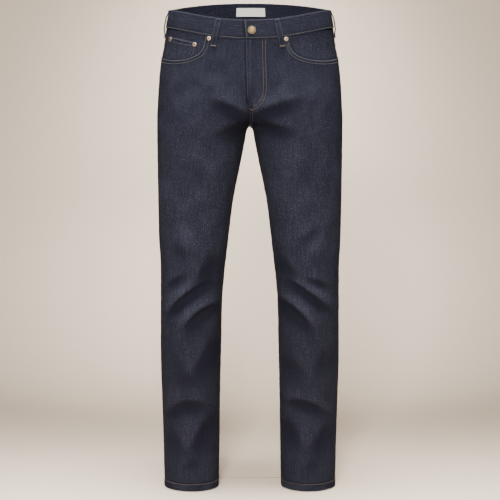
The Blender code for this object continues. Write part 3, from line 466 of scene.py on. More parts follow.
def setGrid(name, outer, inner, uv, wear, material, inside=1.0, closed=False, fade=0.0):
    # one closed wall of cloth: an outer and an inner grid of points, joined round their edges. Corner
    # (i, j) of the inner grid is corner (i, j) of the outer one, plus rows x columns.
    rows, columns = outer.shape[:2]
    last = columns if closed else columns - 1
    size = rows * columns
    outFaces = gridFaces(rows, columns, closed)
    faces = [outFaces.reshape(-1, 4), outFaces.reshape(-1, 4)[:, ::-1] + size]
    j = np.arange(last)
    k = (j + 1) % columns
    top = np.stack([k, j, j + size, k + size], axis=-1)
    base = (rows - 1) * columns
    bottom = np.stack([j + base, k + base, k + base + size, j + base + size], axis=-1)
    faces += [top, bottom]
    if not closed:
        i = np.arange(rows - 1)
        a, b = i * columns, (i + 1) * columns
        faces.append(np.stack([a, b, b + size, a + size], axis=-1))
        a, b = a + columns - 1, b + columns - 1
        faces.append(np.stack([b, a, a + size, b + size], axis=-1))
    faces = np.concatenate(faces)
    points = np.concatenate([outer.reshape(-1, 3), inner.reshape(-1, 3)])
    corner = points[outFaces[rows // 2 - 1, last // 2]]
    facing = np.cross(corner[1] - corner[0], corner[3] - corner[0])
    if facing @ (outer[rows // 2 - 1, last // 2] - inner[rows // 2 - 1, last // 2]) < 0:
        faces = faces[:, ::-1]
    piece = addMesh(name, points, faces, material)
    flat = np.tile(uv.reshape(-1, 2), (2, 1))[faces.reshape(-1)].reshape(-1, 4, 2)
    if closed:  # the last column's faces join on to the first one, once round
        once = uv[0, -1, 0] - uv[0, 0, 0] + (uv[0, 1, 0] - uv[0, 0, 0])
        low = flat[:, :, 0] < uv[0, 0, 0] + 0.3 * abs(once)
        wraps = np.ptp(flat[:, :, 0], axis=1) > 0.5 * abs(once)
        flat[:, :, 0] += np.where(low & wraps[:, None], once, 0.0)
    layer = piece.data.uv_layers.new(name="cloth")
    layer.data.foreach_set("uv", flat.reshape(-1).astype(np.float32))
    # the wear, and the painted shade and highlight with the hem's roping fade, one number for each point
    # of both skins
    for label, values in (("wear", wear), ("fade", fade)):
        tag(piece, label, "POINT", np.tile(np.broadcast_to(values, (rows, columns)).reshape(-1), 2))
    skin = outFaces.size // 4
    values = np.zeros(len(faces))
    values[skin : 2 * skin] = inside
    tag(piece, "inside", "FACE", values)
    return piece


def tag(piece, label, domain, values):
    # numbers that a material reads, one for each point or face
    layer = piece.data.attributes.new(label, "FLOAT", domain)
    layer.data.foreach_set("value", values.astype(np.float32))


def addMesh(name, points, faces, material):
    mesh = bpy.data.meshes.new(name)
    mesh.from_pydata(points.tolist(), [], faces if isinstance(faces, list) else faces.tolist())
    mesh.shade_smooth()
    mesh.materials.append(material)
    piece = bpy.data.objects.new(name, mesh)
    bpy.context.scene.collection.objects.link(piece)
    return piece


def declare(piece, nodes, slot, flat=None, area=None, held="stretched", rests=()):
    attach(piece, "root")
    if nodes:
        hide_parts(*nodes)


class Value:
    # a shader socket that adds Math nodes as an expression on it is written
    def __init__(self, graph, socket):
        self.graph, self.socket = graph, socket

    def math(self, operation, first, second):
        return self.graph.add("ShaderNodeMath", {"operation": operation}, {0: first, 1: second})

    def __add__(self, other):
        return self.math("ADD", self, other)

    def __sub__(self, other):
        return self.math("SUBTRACT", self, other)

    def __rsub__(self, other):
        return self.math("SUBTRACT", other, self)

    def __mul__(self, other):
        return self.math("MULTIPLY", self, other)

    __radd__ = __add__
    __rmul__ = __mul__


class Finish:
    # one Principled material and the nodes that feed it
    def __init__(self, name, constants):
        self.material = bpy.data.materials.new(name)
        self.material.use_nodes = True
        self.tree = self.material.node_tree
        self.shader = self.tree.nodes["Principled BSDF"]
        for socket, value in constants.items():
            self.shader.inputs[socket].default_value = value

    def add(self, kind, settings, values, out=0):
        node = self.tree.nodes.new(kind)
        for key, setting in settings.items():
            setattr(node, key, setting)
        for key, value in values.items():
            self.put(node.inputs[key], value)
        return Value(self, node.outputs[out])

    def put(self, socket, value):
        if isinstance(value, Value):
            self.tree.links.new(value.socket, socket)
        else:
            socket.default_value = value

    def attribute(self, name):
        return self.add("ShaderNodeAttribute", {"attribute_name": name}, {}, "Fac")

    def uv(self, scale, turn=0.0):
        place = self.add("ShaderNodeUVMap", {"uv_map": "cloth"}, {})
        values = {"Vector": place, "Rotation": (0, 0, turn), "Scale": (*scale, 1.0)}
        return self.add("ShaderNodeMapping", {}, values)

    def at(self, scale):
        place = self.add("ShaderNodeTexCoord", {}, {}, "Object")
        return self.add("ShaderNodeMapping", {}, {"Vector": place, "Scale": scale})

    def noise(self, place, detail=2.0, rough=0.5):
        values = {"Vector": place, "Scale": 1.0, "Detail": detail, "Roughness": rough}
        return self.add("ShaderNodeTexNoise", {}, values)

    def soft(self, value, low, high, to=(0.0, 1.0)):
        values = {"Value": value, "From Min": low, "From Max": high, "To Min": to[0], "To Max": to[1]}
        return self.add("ShaderNodeMapRange", {"interpolation_type": "SMOOTHSTEP"}, values)

    def mix(self, factor, first, second):
        return self.add("ShaderNodeMix", {"data_type": "RGBA"}, {0: factor, 6: first, 7: second}, 2)

    def relief(self, height, distance, strength=1.0):
        values = {"Height": height, "Distance": distance, "Strength": strength}
        self.feed("Normal", self.add("ShaderNodeBump", {}, values, "Normal"))

    def feed(self, socket, value):
        self.put(self.shader.inputs[socket], value)


def rgb(*channels):
    return (*channels, 1.0)


denimLook = {
    "dark": rgb(0.0048, 0.0050, 0.0092),
    "light": rgb(0.0290, 0.0305, 0.0475),
    "speck": rgb(0.120, 0.134, 0.165),
    "worn": rgb(0.070, 0.078, 0.104),
    "reverse": rgb(0.085, 0.093, 0.112),
    "roughness": 0.86,
    "twillPitch": 0.00105,
}


def makeDenim(name, tone=1.0):
    # indigo warp over a pale weft: twill ribs, uneven yarn along the warp, small pale specks, slow
    # mottling
    finish = Finish(name, {"Specular IOR Level": 0.04})
    yarn = finish.noise(finish.uv((1500, 85)), 3.0, 0.62)
    slub = finish.noise(finish.uv((620, 22)), 2.0, 0.55)
    speck = finish.noise(finish.uv((760, 360)), 1.5, 0.55)
    weft = finish.noise(finish.uv((120, 1300)), 2.0, 0.5)
    mottle = finish.noise(finish.uv((26, 17)), 3.0, 0.55)
    rib = finish.add(
        "ShaderNodeTexWave",
        {"wave_type": "BANDS", "bands_direction": "X"},
        {
            "Vector": finish.uv((1.0, 1.0), math.radians(-28)),
            "Scale": 0.314 / denimLook["twillPitch"],
            "Distortion": 0.6,
            "Detail": 1.0,
            "Detail Scale": 2.0,
        },
        "Fac",
    )
    fade = finish.attribute("fade")
    shade = 0.10 + finish.soft(yarn, 0.34, 0.70) * 0.34 + finish.soft(slub, 0.40, 0.66) * 0.20
    shade = shade + rib * 0.16 + finish.soft(weft, 0.45, 0.70) * 0.10
    shade = shade * finish.soft(mottle, 0.30, 0.72, (0.86, 1.14)) * tone
    # painted shade and highlight: down to a quarter of the brightness in fold troughs, grooves and under
    # edges, up to 1.6 times on fold crests; the pale specks thin out in the same shade
    shade = shade * finish.soft(fade, -1.0, 1.0, (0.25, 1.6))
    colour = finish.mix(shade, denimLook["dark"], denimLook["light"])
    specks = finish.soft(speck, 0.58, 0.70) * finish.soft(slub, 0.36, 0.58, (0.35, 1.0))
    colour = finish.mix(specks * finish.soft(fade, -1.0, 0.4, (0.05, 0.52)), colour, denimLook["speck"])
    wear = finish.attribute("wear") * finish.soft(yarn, 0.30, 0.64, (0.35, 1.0))
    colour = finish.mix(wear, colour, denimLook["worn"])
    reverse = finish.mix(rib * 0.5, denimLook["reverse"], denimLook["light"])
    colour = finish.mix(finish.attribute("inside") * 0.85, colour, reverse)
    finish.feed("Base Color", colour)
    finish.feed("Roughness", denimLook["roughness"] + 0.10 * (yarn - 0.5))
    finish.relief(rib * 0.55 + yarn * 0.5 + slub * 0.35, 0.00022, 0.85)
    return finish.material


def makeThread(name, colour, dark):
    finish = Finish(name, {"Specular IOR Level": 0.3, "Sheen Weight": 0.1})
    twist = finish.noise(finish.at((2600, 2600, 2600)), 1.0)
    slow = finish.noise(finish.at((95, 95, 95)), 2.0)
    share = finish.soft(twist, 0.3, 0.7) * 0.5 + finish.soft(slow, 0.35, 0.65) * 0.5
    finish.feed("Base Color", finish.mix(share, dark, colour))
    finish.feed("Roughness", 0.62 + 0.2 * (twist - 0.5))
    finish.relief(twist, 0.0001, 0.6)
    return finish.material


def makeMetal(name, bright, tarnish, roughness):
    finish = Finish(name, {"Metallic": 1.0})
    patches = finish.noise(finish.at((420, 420, 420)), 4.0, 0.6)
    grain = finish.noise(finish.at((2600, 2600, 900)), 2.0)
    colour = finish.mix(finish.soft(patches, 0.36, 0.68), tarnish, bright)
    # darker where the lathe marks the sunk ring and the dimple's middle
    sunkDarkening = finish.attribute("sunkDarkening") * 0.75
    finish.feed("Base Color", finish.mix(sunkDarkening, colour, rgb(0.035, 0.028, 0.022)))
    finish.feed("Roughness", roughness + 0.34 * (1 - patches) - 0.12)
    finish.relief(grain, 0.00006, 0.5)
    return finish.material


def makeLabel(name):
    # a woven tape: fine ribs across, soft yarn noise
    finish = Finish(name, {"Sheen Weight": 0.2, "Specular IOR Level": 0.25})
    ribs = finish.add(
        "ShaderNodeTexWave",
        {"wave_type": "BANDS", "bands_direction": "Y"},
        {"Vector": finish.uv((1.0, 1.0)), "Scale": 0.314 / 0.00062, "Distortion": 0.3},
        "Fac",
    )
    yarn = finish.noise(finish.uv((900, 300)), 2.0)
    colours = rgb(0.62, 0.585, 0.53), rgb(0.78, 0.75, 0.70)
    finish.feed("Base Color", finish.mix(ribs * 0.35 + yarn * 0.4, *colours))
    finish.feed("Roughness", 0.78 + 0.1 * (yarn - 0.5))
    finish.relief(ribs * 0.7 + yarn * 0.4, 0.00012, 0.7)
    return finish.material


look = {
    "denim": makeDenim("denimFace"),
    "denim_trim": makeDenim("denimTrim", 0.92),
    "gold": makeThread("threadGold", rgb(0.120, 0.090, 0.048), rgb(0.066, 0.049, 0.027)),
    "dull": makeThread("threadDull", rgb(0.088, 0.080, 0.066), rgb(0.048, 0.045, 0.040)),
    "red": makeThread("threadRust", rgb(0.200, 0.078, 0.042), rgb(0.115, 0.045, 0.026)),
    "tonal": makeThread("threadTonal", rgb(0.030, 0.032, 0.044), rgb(0.012, 0.013, 0.021)),
    "white": makeThread("threadWhite", rgb(0.70, 0.67, 0.61), rgb(0.52, 0.49, 0.44)),
    "brass": makeMetal("oldBrass", rgb(0.29, 0.207, 0.112), rgb(0.165, 0.116, 0.063), 0.61),
    "copper": makeMetal("oldCopper", rgb(0.50, 0.385, 0.275), rgb(0.29, 0.205, 0.13), 0.50),
    "woven_label": makeLabel("wovenLabel"),
}
print("finishes made")

stitch = {"pitch": 0.0034, "length": 0.0029, "radius": 0.00044, "rings": 5, "sides": 5}
# stitches by thread: starts, ends, outs, radius
stitched = {"gold": [], "dull": [], "tonal": [], "white": [], "red": []}


def sewRow(thread, points, outs, pitch=None, length=None, radius=None):
    # stitches of one length along a path, one every pitch
    pitch, length = pitch or stitch["pitch"], length or stitch["length"]
    along = np.concatenate([[0.0], np.cumsum(np.linalg.norm(np.diff(points, axis=0), axis=1))])
    count = max(int(along[-1] / pitch), 1)
    middle = (np.arange(count) + 0.5) * along[-1] / count

    def at(values, place):
        return np.stack([np.interp(place, along, values[:, axis]) for axis in range(3)], axis=1)

    starts, ends = at(points, middle - length / 2), at(points, middle + length / 2)
    stitched[thread].append((starts, ends, unit(at(outs, middle)), radius or stitch["radius"]))


def barTack(thread, centre, along, out, long, wide, pitch=0.00062, radius=0.00036):
    # a close row of threads across a short line
    along = unit(along - out * (along @ out))
    across = np.cross(out, along)
    steps = np.linspace(-long / 2, long / 2, max(int(long / pitch), 2))[:, None]
    middle = centre + along * steps + out * 0.0001
    slant = along * pitch * 0.4
    outs = out * np.ones((len(steps), 1))
    reach = across * wide / 2
    stitched[thread].append((middle - reach - slant, middle + reach + slant, outs, radius))


def sewAll(thread, parts):
    # every stitch is a rod of five rings, thickest in the middle, whose ends dip into the cloth
    rings, sides = stitch["rings"], stitch["sides"]
    share = np.array([0.0, 0.14, 0.5, 0.86, 1.0])[None, :, None, None]
    thick = np.array([0.45, 0.9, 1.0, 0.9, 0.45])[None, :, None, None]
    rise = np.array([-1.0, 0.0, 0.45, 0.0, -1.0])[None, :, None, None]
    starts, ends, outs = (np.concatenate([part[n] for part in parts]) for n in range(3))
    radius = np.concatenate([np.full(len(part[0]), part[3]) for part in parts])[:, None, None, None]
    side = unit(np.cross(outs, ends - starts))[:, None, None]
    starts, ends, outs = (v[:, None, None] for v in (starts, ends, outs))
    angle = (np.arange(sides) * 2 * np.pi / sides)[None, None, :, None]
    points = starts + (ends - starts) * share + outs * rise * radius
    points = points + radius * thick * (np.cos(angle) * outs + np.sin(angle) * side)
    first = (np.arange(len(points)) * rings * sides)[:, None, None]
    quads = (gridFaces(rings, sides, True).reshape(1, -1, 4) + first).reshape(-1, 4)
    ends = np.arange(sides)
    caps = (np.stack([ends[::-1], ends + (rings - 1) * sides])[None] + first).reshape(-1, sides)
    faces = quads[:, ::-1].tolist() + caps[:, ::-1].tolist()
    declare(addMesh("stitches_" + thread, points.reshape(-1, 3), faces, look[thread]), [], None)


cloth = JeansForm()
print("form made")


def layPiece(node, slot, spot, outer, inner, uv, wear=0.0, name=None, **more):
    # a declared wall of cloth between two lifts of the form, over the turns and heights of spot; more
    # holds what setGrid and declare take by name
    sheet = {key: more.pop(key) for key in ("flat", "area", "held", "rests") if key in more}
    grids = (cloth.read(*spot, lift) for lift in (outer, inner))
    uv = np.stack(np.broadcast_arrays(*uv), axis=-1)
    piece = setGrid(name or "denim_" + node, *grids, uv, wear, look[slot], **more)
    declare(piece, [node], slot, **sheet)


def sewOn(thread, turn, height, lift, **how):
    sewRow(thread, cloth.read(turn, height, lift), cloth.outs(turn, height), **how)


def fell(away):
    # a felled seam's raised strip, away from the seam: level up to its width, then down to nothing
    return cut["fellRise"] * (1 - ease(away, cut["fellWidth"] - 0.0010, cut["fellWidth"] + 0.0006))


def pucker(place, seed, spacing, away, reach):
    # the cloth's unevenness beside stitching, fading as e^(-away / reach)
    return cut["pucker"] * wander(place, seed, spacing) * np.exp(-away / reach)


def waistDent(height):
    # the cloth drawn in under the waistband
    return -0.0005 * bump(height, waistSeam, 0.003)


def pointOn(turn, height, lift):
    # one point of the form and the outward direction there
    turn, height, lift = (np.array([float(v)]) for v in (turn, height, lift))
    return cloth.read(turn, height, lift)[0], cloth.outs(turn, height)[0]


def mouthDrop(share, start):
    # how far the pocket mouth lies below the waist seam: a quarter of a superellipse
    t = np.clip((share - start) / (1 - start), 0.0, 1.0)
    return front["mouthDepth"] * (1 - (1 - t) ** front["mouthPower"]) ** (1 / front["mouthPower"])


def mouthLine(side, inset, count=160):
    # the mouth's edge moved into the front by inset, as shares and heights
    waist = float(cloth.length("front", waistSeam))
    start = front["mouthStart"][side] / waist
    t = np.linspace(0.0, 1.0, count) ** 2.2
    share = start + (1 - start) * t
    a, h = share * waist, waistSeam - mouthDrop(share, start)
    da, dh = np.gradient(a), np.gradient(h)
    size = np.hypot(da, dh)
    a, h = a + dh / size * inset, h - da / size * inset
    keep = (h < waistSeam - 0.0005) & (a < waist - 0.0016)
    return a[keep] / waist, h[keep]


def mouthColumns(start, waist):
    # columns from the mouth's start to the side seam, spaced along its curve and closer towards the
    # seam
    share = start + (1 - start) * np.linspace(0.0, 1.0, 3000) ** 3
    steps = np.hypot(np.diff(share) * waist, np.diff(mouthDrop(share, start)))
    along = np.concatenate([[0.0], np.cumsum(steps)])
    t = np.linspace(0.0, 1.0, front["columns"][1])[1:]
    return np.interp((1 - (1 - t) ** 1.5) * along[-1], along, share)


def placketWidth(height):
    return front["placket"] - front["placketNarrow"] * ease(height, -0.15, -0.06)


def placketEdge(height):
    # the fly's stitched shape: straight down, then a quarter ellipse in to the middle
    t = np.clip((front["placketTurn"] - height) / (front["placketTurn"] - front["placketEnd"]), 0.0, 1.0)
    return placketWidth(height) * np.sqrt(np.maximum(1 - t**2, 0.0))


def flyLap(height):
    t = np.clip((height - front["flyEnd"]) / (waistSeam - front["flyEnd"]), 0.0, 1.0)
    return front["flyLapLow"] + (front["flyLapTop"] - front["flyLapLow"]) * t


def frontPanel(side):
    # grid of shares and heights, read from the form: the mouth is cut from its top and the left fly
    # edge laps over
    left = side == "left"
    waist = float(cloth.length("front", waistSeam))
    start = front["mouthStart"][side] / waist
    inner = start * crowded(front["columns"][0], 0.8)
    columns = np.concatenate([inner, mouthColumns(start, waist)])
    top = waistSeam - mouthDrop(columns, start)
    t = (np.linspace(0.0, 1.0, front["rows"][0]) ** 1.35)[:, None]
    level = np.linspace(front["blockEnd"], cut["hemTop"], front["rows"][1])[1:, None]
    heights = np.concatenate([top * (1 - t) + front["blockEnd"] * t, level + 0 * top])
    length = cloth.length("front", heights)
    edge = cut["gap"] / 2 / length
    innerEdge = edge * ease(-heights, -form["fork"], -form["fork"] + 0.01)
    if left:
        fly = ease(heights, front["flyEnd"], front["flyEnd"] + front["flyFade"])
        flyLift = ease(heights, front["flyEnd"] - front["flyFade"], front["flyEnd"])
        innerEdge = innerEdge - flyLap(heights) / length * fly
    share = innerEdge + (1 - edge - innerEdge) * (1 - cloth.spread("front", heights, 1 - columns))
    slope = np.gradient(top, columns * waist)
    fromMouth = (top - heights) / np.sqrt(1 + slope**2)
    fromMouth = np.where(columns >= start, fromMouth, 1.0)

    def relief(share, height, fromMouth=1.0):
        # seam strips, puckers beside the stitching, and the fly's double cloth
        length = cloth.length("front", height)
        a = share * length
        b = length - a
        lift = fell(a) * ease(-height, -form["fork"], -form["fork"] + 0.004)
        lift = lift + cut["ridgeRise"] * bump(b, cut["ridgeFrom"], 0.0028) * ease(-height, 0.10, 0.13)
        seed = 5 if left else 9
        lift = lift + pucker(height, seed, 0.0075, b, 0.013)
        lift = lift + pucker(height, seed + 1, 0.0068, a, 0.014) * ease(-height, *cut["inseamPuckers"])
        lift = lift + 0.6 * pucker(a, seed + 2, 0.006, waistSeam - height, 0.010) + waistDent(height)
        if left:
            placket = placketEdge(height)
            lift = lift + front["placketLift"] * (1 - ease(a, placket - 0.0006, placket + 0.0016)) * (
                height > front["placketEnd"]
            )
            lift = lift + 0.00022 * wander(height, 77, 0.0065) * bump(a, placket - 0.004, 0.006)
        mouth = bump(fromMouth, 0.006, 0.006)
        return lift + 0.3 * cut["pucker"] * wander(a * 1.2 + height, seed + 3, 0.006) * mouth

    lift = relief(share, heights, fromMouth)
    if left:
        lap = ease(-share * length, -front["flyRise"], -front["flyFlat"])
        lift = lift + (cut["cloth"] + cut["gap"]) * flyLift * lap
    fall = roll((1 - edge - share) * length) + roll(fromMouth)
    rolled = ease(-heights, -form["fork"] + 0.004, -form["fork"] + 0.012)
    fall += roll((share - innerEdge) * length) * (np.maximum(rolled, fly) if left else rolled)
    fall = np.clip(fall, 0.0, cut["edgeFall"])
    turn = share if left else 4 - share
    wear = 0.34 * bump(fromMouth, 0.0, 0.0016)
    wear = wear + 0.10 * bump(share * length, 0.0092, 0.0012) * (heights < form["fork"])
    # painted shade in the groove beside the far stitch row under the mouth
    fade = cloth.fade(turn, heights) - 0.35 * bump(fromMouth, 0.0095, 0.0012)
    # painted shadow under the waistband's lower edge
    fade = fade - 0.6 * bump(waistSeam - heights, 0.0, 0.0016)
    # painted shade in the crotch, where the fold troughs meet
    fade = fade - 1.1 * bump(share * length, 0.0, 0.034) * bump(heights, -0.240, 0.020)
    if left:
        placket = placketEdge(heights)
        onFly = heights > front["placketEnd"]
        wear = wear + 0.36 * bump(share * length, -flyLap(heights), 0.0012) * fly
        wear = wear + 0.07 * bump(share * length, placket, 0.0012) * onFly
        # painted shade in the groove beside the fly's stitched edge
        fade = fade - 0.45 * bump(share * length, placket + 0.0010, 0.0010) * onFly
    else:
        onFly = heights > front["flyEnd"]
        # painted shadow cast by the left fly's lapped edge on the right front
        fade = fade - 1.3 * bump(share * length, flyLap(heights) + 0.0006, 0.0017) * onFly
    layPiece(
        "front_" + side,
        "denim",
        (turn, heights),
        lift - fall,
        lift - cut["cloth"] + fall,
        ((turn - (0.5 if left else 3.5)) * length, heights),
        wear,
        fade=fade,
        flat=(0.285, 1.03),
        area=0.218,
        rests=["back_" + side],
    )

    def place(share, height, extra=0.0):
        return share if left else 4 - share, height, relief(share, height) + extra

    def sew(thread, share, height, extra=0.0, **how):
        sewOn(thread, *place(share, height, extra), **how)

    for inset in (0.0020, 0.0088):
        sew("dull", *mouthLine(side, inset), radius=0.00042)
    h = np.linspace(-0.258, cut["hemTop"] + 0.001, 400)
    for row in (cut["rowNear"], cut["rowFar"]):
        sew("tonal" if row > 0.005 else "dull", row / cloth.length("front", h), h, radius=0.00036)
    h = np.linspace(waistSeam - front["mouthDepth"] - 0.002, -0.172, 60)
    sew("tonal", 1 - 0.0022 / cloth.length("front", h), h)
    if left:
        for inset in (0.0, 0.0062):
            low = np.linspace(0.0, np.pi / 2, 60)
            bend, foot = front["placketTurn"], front["placketEnd"] + 0.0015 + inset
            straight = np.linspace(waistSeam - 0.0006, bend, 60)
            h = np.concatenate([straight, bend + (foot - bend) * np.sin(low)])
            turnIn = np.concatenate([np.ones(60), np.cos(low)])
            a = np.maximum((placketWidth(h) - 0.0012 - inset) * turnIn, 0.0008)
            sew("gold", a / cloth.length("front", h), h, radius=0.00038)
        h = np.linspace(waistSeam - 0.001, front["flyEnd"] + 0.012, 80)
        lap = (cut["cloth"] + cut["gap"]) * ease(-0.0004, -front["flyRise"], -front["flyFlat"])
        sew("tonal", 0.0004 / cloth.length("front", h), h, lap)
        h = np.linspace(front["placketEnd"] - 0.002, -0.244, 20)
        for a in (0.0017, 0.0078):
            sew("tonal", a / cloth.length("front", h), h)
        height = front["placketEnd"] + 0.0035
        share = 0.0034 / float(cloth.length("front", height))
        turn, height, lift = place(share, height, 0.0002)
        point, out = pointOn(turn, height, lift)
        down = unit(pointOn(turn, height - 0.003, 0.0)[0] - pointOn(turn, height + 0.003, 0.0)[0])
        slanting = math.cos(0.35) * np.cross(down, out) - math.sin(0.35) * down
        barTack("red", point, slanting, out, 0.0115, 0.0019)
    point, out = pointOn(*place(1 - 0.0030 / waist, waistSeam - front["mouthDepth"] - 0.0050, 0.0002))
    barTack("gold", point, upward, out, 0.0085, 0.0021)


def yokeSeam(share):
    return back["yokeSide"] + (back["yokeCentre"] - back["yokeSide"]) * share**1.15


def backTurn(side, share):
    return 1 + share if side == "left" else 3 - share


def backRelief(side, share, height):
    # the rise seam's felled strip on the left, side seam allowances and puckers
    length = cloth.length("back", height)
    b, a = share * length, (1 - share) * length
    seed = 15 if side == "left" else 19
    lift = cut["ridgeRise"] * bump(b, cut["ridgeFrom"], 0.0028)
    lift = lift + pucker(height, seed, 0.0075, b, 0.013)
    lift = lift + pucker(height, seed + 1, 0.0068, a, 0.014) * ease(-height, *cut["inseamPuckers"])
    if side == "left":
        lift = lift + fell(a) * ease(height, form["fork"] - 0.004, form["fork"])
    return lift


def backPanel(side):
    # grid of shares and heights from the yoke seam to the hem
    columns = crowded(back["columns"], 0.82)
    top = yokeSeam(columns) - cut["gap"]
    t = (np.linspace(0.0, 1.0, back["rows"][0]) ** 1.3)[:, None]
    level = np.linspace(back["blockEnd"], cut["hemTop"], back["rows"][1])[1:, None]
    heights = np.concatenate([top * (1 - t) + back["blockEnd"] * t, level + 0 * top])
    length = cloth.length("back", heights)
    edge = cut["gap"] / 2 / length
    below = ease(-heights, -form["fork"] + 0.004, -form["fork"] + 0.012)
    share = edge + (1 - edge - edge * below) * cloth.spread("back", heights, columns)
    lift = backRelief(side, share, heights) - 0.0004 * bump(top - heights, 0.0, 0.002)
    fall = roll((share - edge) * length) + roll((1 - edge - share) * length) * below
    fall = np.clip(fall, 0.0, cut["edgeFall"])
    turn = backTurn(side, share)
    layPiece(
        "back_" + side,
        "denim",
        (turn, heights),
        lift - fall,
        lift - cut["cloth"] + fall,
        ((turn - (1.5 if side == "left" else 2.5)) * length, heights),
        0.10 * bump((1 - share) * length, 0.0096, 0.0012) * (side == "left") * (heights > form["fork"]),
        fade=cloth.fade(turn, heights),
        flat=(0.33, 0.975),
        area=0.225,
        rests=["front_" + side],
    )
    if side == "left":
        h = np.linspace(back["yokeCentre"] - 0.003, -0.244, 90)
        for row in (cut["rowNear"], cut["rowFar"]):
            share = 1 - row / cloth.length("back", h)
            sewOn("dull", backTurn(side, share), h, backRelief(side, share, h))


def yoke(side):
    # grid between the waist seam and the yoke seam, its lower strip felled over the back
    rows, columns = back["yokeGrid"]
    share = crowded(columns, 0.82)
    down = crowded(rows, 0.8)[:, None]
    heights = waistSeam * (1 - down) + yokeSeam(share) * down
    length = cloth.length("back", heights)
    edge = cut["gap"] / 2 / length
    share = edge + (1 - 2 * edge) * share

    def relief(share, height):
        fromSeam = height - yokeSeam(share)
        a = share * cloth.length("back", height)
        lift = fell(fromSeam) + waistDent(height) + pucker(a, 41, 0.0072, fromSeam, 0.012)
        return lift + 0.6 * pucker(a, 42, 0.006, waistSeam - height, 0.010)

    lift = relief(share, heights)
    fall = roll(heights - yokeSeam(share)) + roll((share - edge) * length)
    fall = np.clip(fall + roll((1 - edge - share) * length), 0.0, cut["edgeFall"])
    turn = backTurn(side, share)
    layPiece(
        "yoke_" + side,
        "denim",
        (turn, heights),
        lift - fall,
        lift - cut["cloth"] + fall,
        (heights * 1.02, (turn - 2) * length),
        0.20 * bump(heights - yokeSeam(share), 0.0, 0.0014),
        flat=(0.235, 0.083),
        area=0.0151,
        rests=["back_" + side],
    )
    inner = np.linspace(0.006, 0.994, 160)
    for row in (cut["rowNear"], cut["rowFar"]):
        h = yokeSeam(inner) + row
        sewOn("dull", backTurn(side, inner), h, relief(inner, h))


def backPocket(side):
    # a five-sided piece: across x down, its foot coming to a point; its edges are sewn down, its mouth
    # stands off
    rows, columns = back["pocketGrid"]
    across = crowded(columns, 0.85)
    down = crowded(rows, 0.85)[:, None]
    middle = back["pocketFromCentre"] + back["pocketTop"] / 2
    scale = cloth.length("back", back["yokeCentre"])

    def place(across, down):
        half = (back["pocketTop"] * (1 - down) + back["pocketBottom"] * down) / 2
        sideways = (2 * across - 1) * half
        share = 1 - (middle + sideways) / scale
        foot = back["pocketSide"] + back["pocketPoint"] * (1 - np.abs(2 * across - 1))
        return backTurn(side, share), yokeSeam(share) - back["pocketUnderYoke"] - down * foot

    def relief(across, down):
        half = (back["pocketTop"] * (1 - down) + back["pocketBottom"] * down) / 2
        fromSide = np.minimum(across, 1 - across) * 2 * half
        fromFoot = (1 - down) * back["pocketSide"]
        fromEdge = np.minimum(fromSide, fromFoot)
        gape = np.sin(np.pi * across) ** 2 * (1 - ease(down, 0.0, 0.3))
        lift = back["pocketEdge"] + back["pocketRise"] * ease(fromEdge, 0.0, 0.012)
        lift = lift + back["pocketGape"] * gape
        puckers = wander(across * 0.15 + down * 0.12, 61, 0.007) * np.exp(-fromEdge / 0.012)
        return lift + 0.00022 * puckers, fromEdge

    turn, heights = place(across, down)
    lift, fromEdge = relief(across + 0 * down, down + 0 * across)
    fall = np.clip(roll(fromEdge) + roll(down * back["pocketSide"]) + 0 * lift, 0.0, cut["edgeFall"])
    layPiece(
        "back_pocket_" + side,
        "denim",
        (turn, heights),
        lift - fall,
        lift - cut["cloth"] + fall,
        ((turn - 2) * back["pocketTurn"], heights),
        0.26 * bump(fromEdge, 0.0, 0.0014) + 0.30 * bump(down * back["pocketSide"], 0.0, 0.0015),
        flat=(0.158, 0.154),
        area=0.0238,
        rests=["back_" + side],
    )

    def sew(s, t):
        sewOn("dull", *place(s, t), relief(s, t)[0])

    for inset in (0.0018, 0.0078):
        da, dd = inset / back["pocketTop"], inset / (back["pocketSide"] + 0.01)
        low = 1 - dd * 1.05
        corners = [(da, 0.012), (da, low), (0.5, 1 - dd * 0.95), (1 - da, low), (1 - da, 0.012)]
        s, t = np.array(corners).T
        steps = np.linspace(0, 4, 400)
        sew(np.interp(steps, np.arange(5), s), np.interp(steps, np.arange(5), t))
    s = np.linspace(0.012, 0.988, 200)
    for row in (0.0022, 0.0125):
        sew(s, np.full(200, row / back["pocketSide"]))
    for s in (0.022, 0.978):
        point, out = pointOn(*place(s, 0.045), relief(s, 0.045)[0] + 0.0002)
        barTack("gold", point, upward, out, 0.010, 0.0022)


facing = {
    "under": 0.013,
    "columns": 46,
    "rows": 30,
    "crease": 0.0009,  # the crease under the left mouth's end: its depth, height, slope and middle
    "creaseHeight": -0.0745,
    "creaseSlope": 0.25,
    "creaseX": 0.115,
}
coin = {
    "top": -0.0550,
    "width": 0.075,
    "columns": 44,
    "rows": 30,
    "innerTop": 0.1130,
    "innerBottom": 0.1210,
    "outer": 0.1960,
    "cloth": 0.0009,
    "lift": 0.0009 - cut["cloth"] - cut["layerGap"] / 2,
}


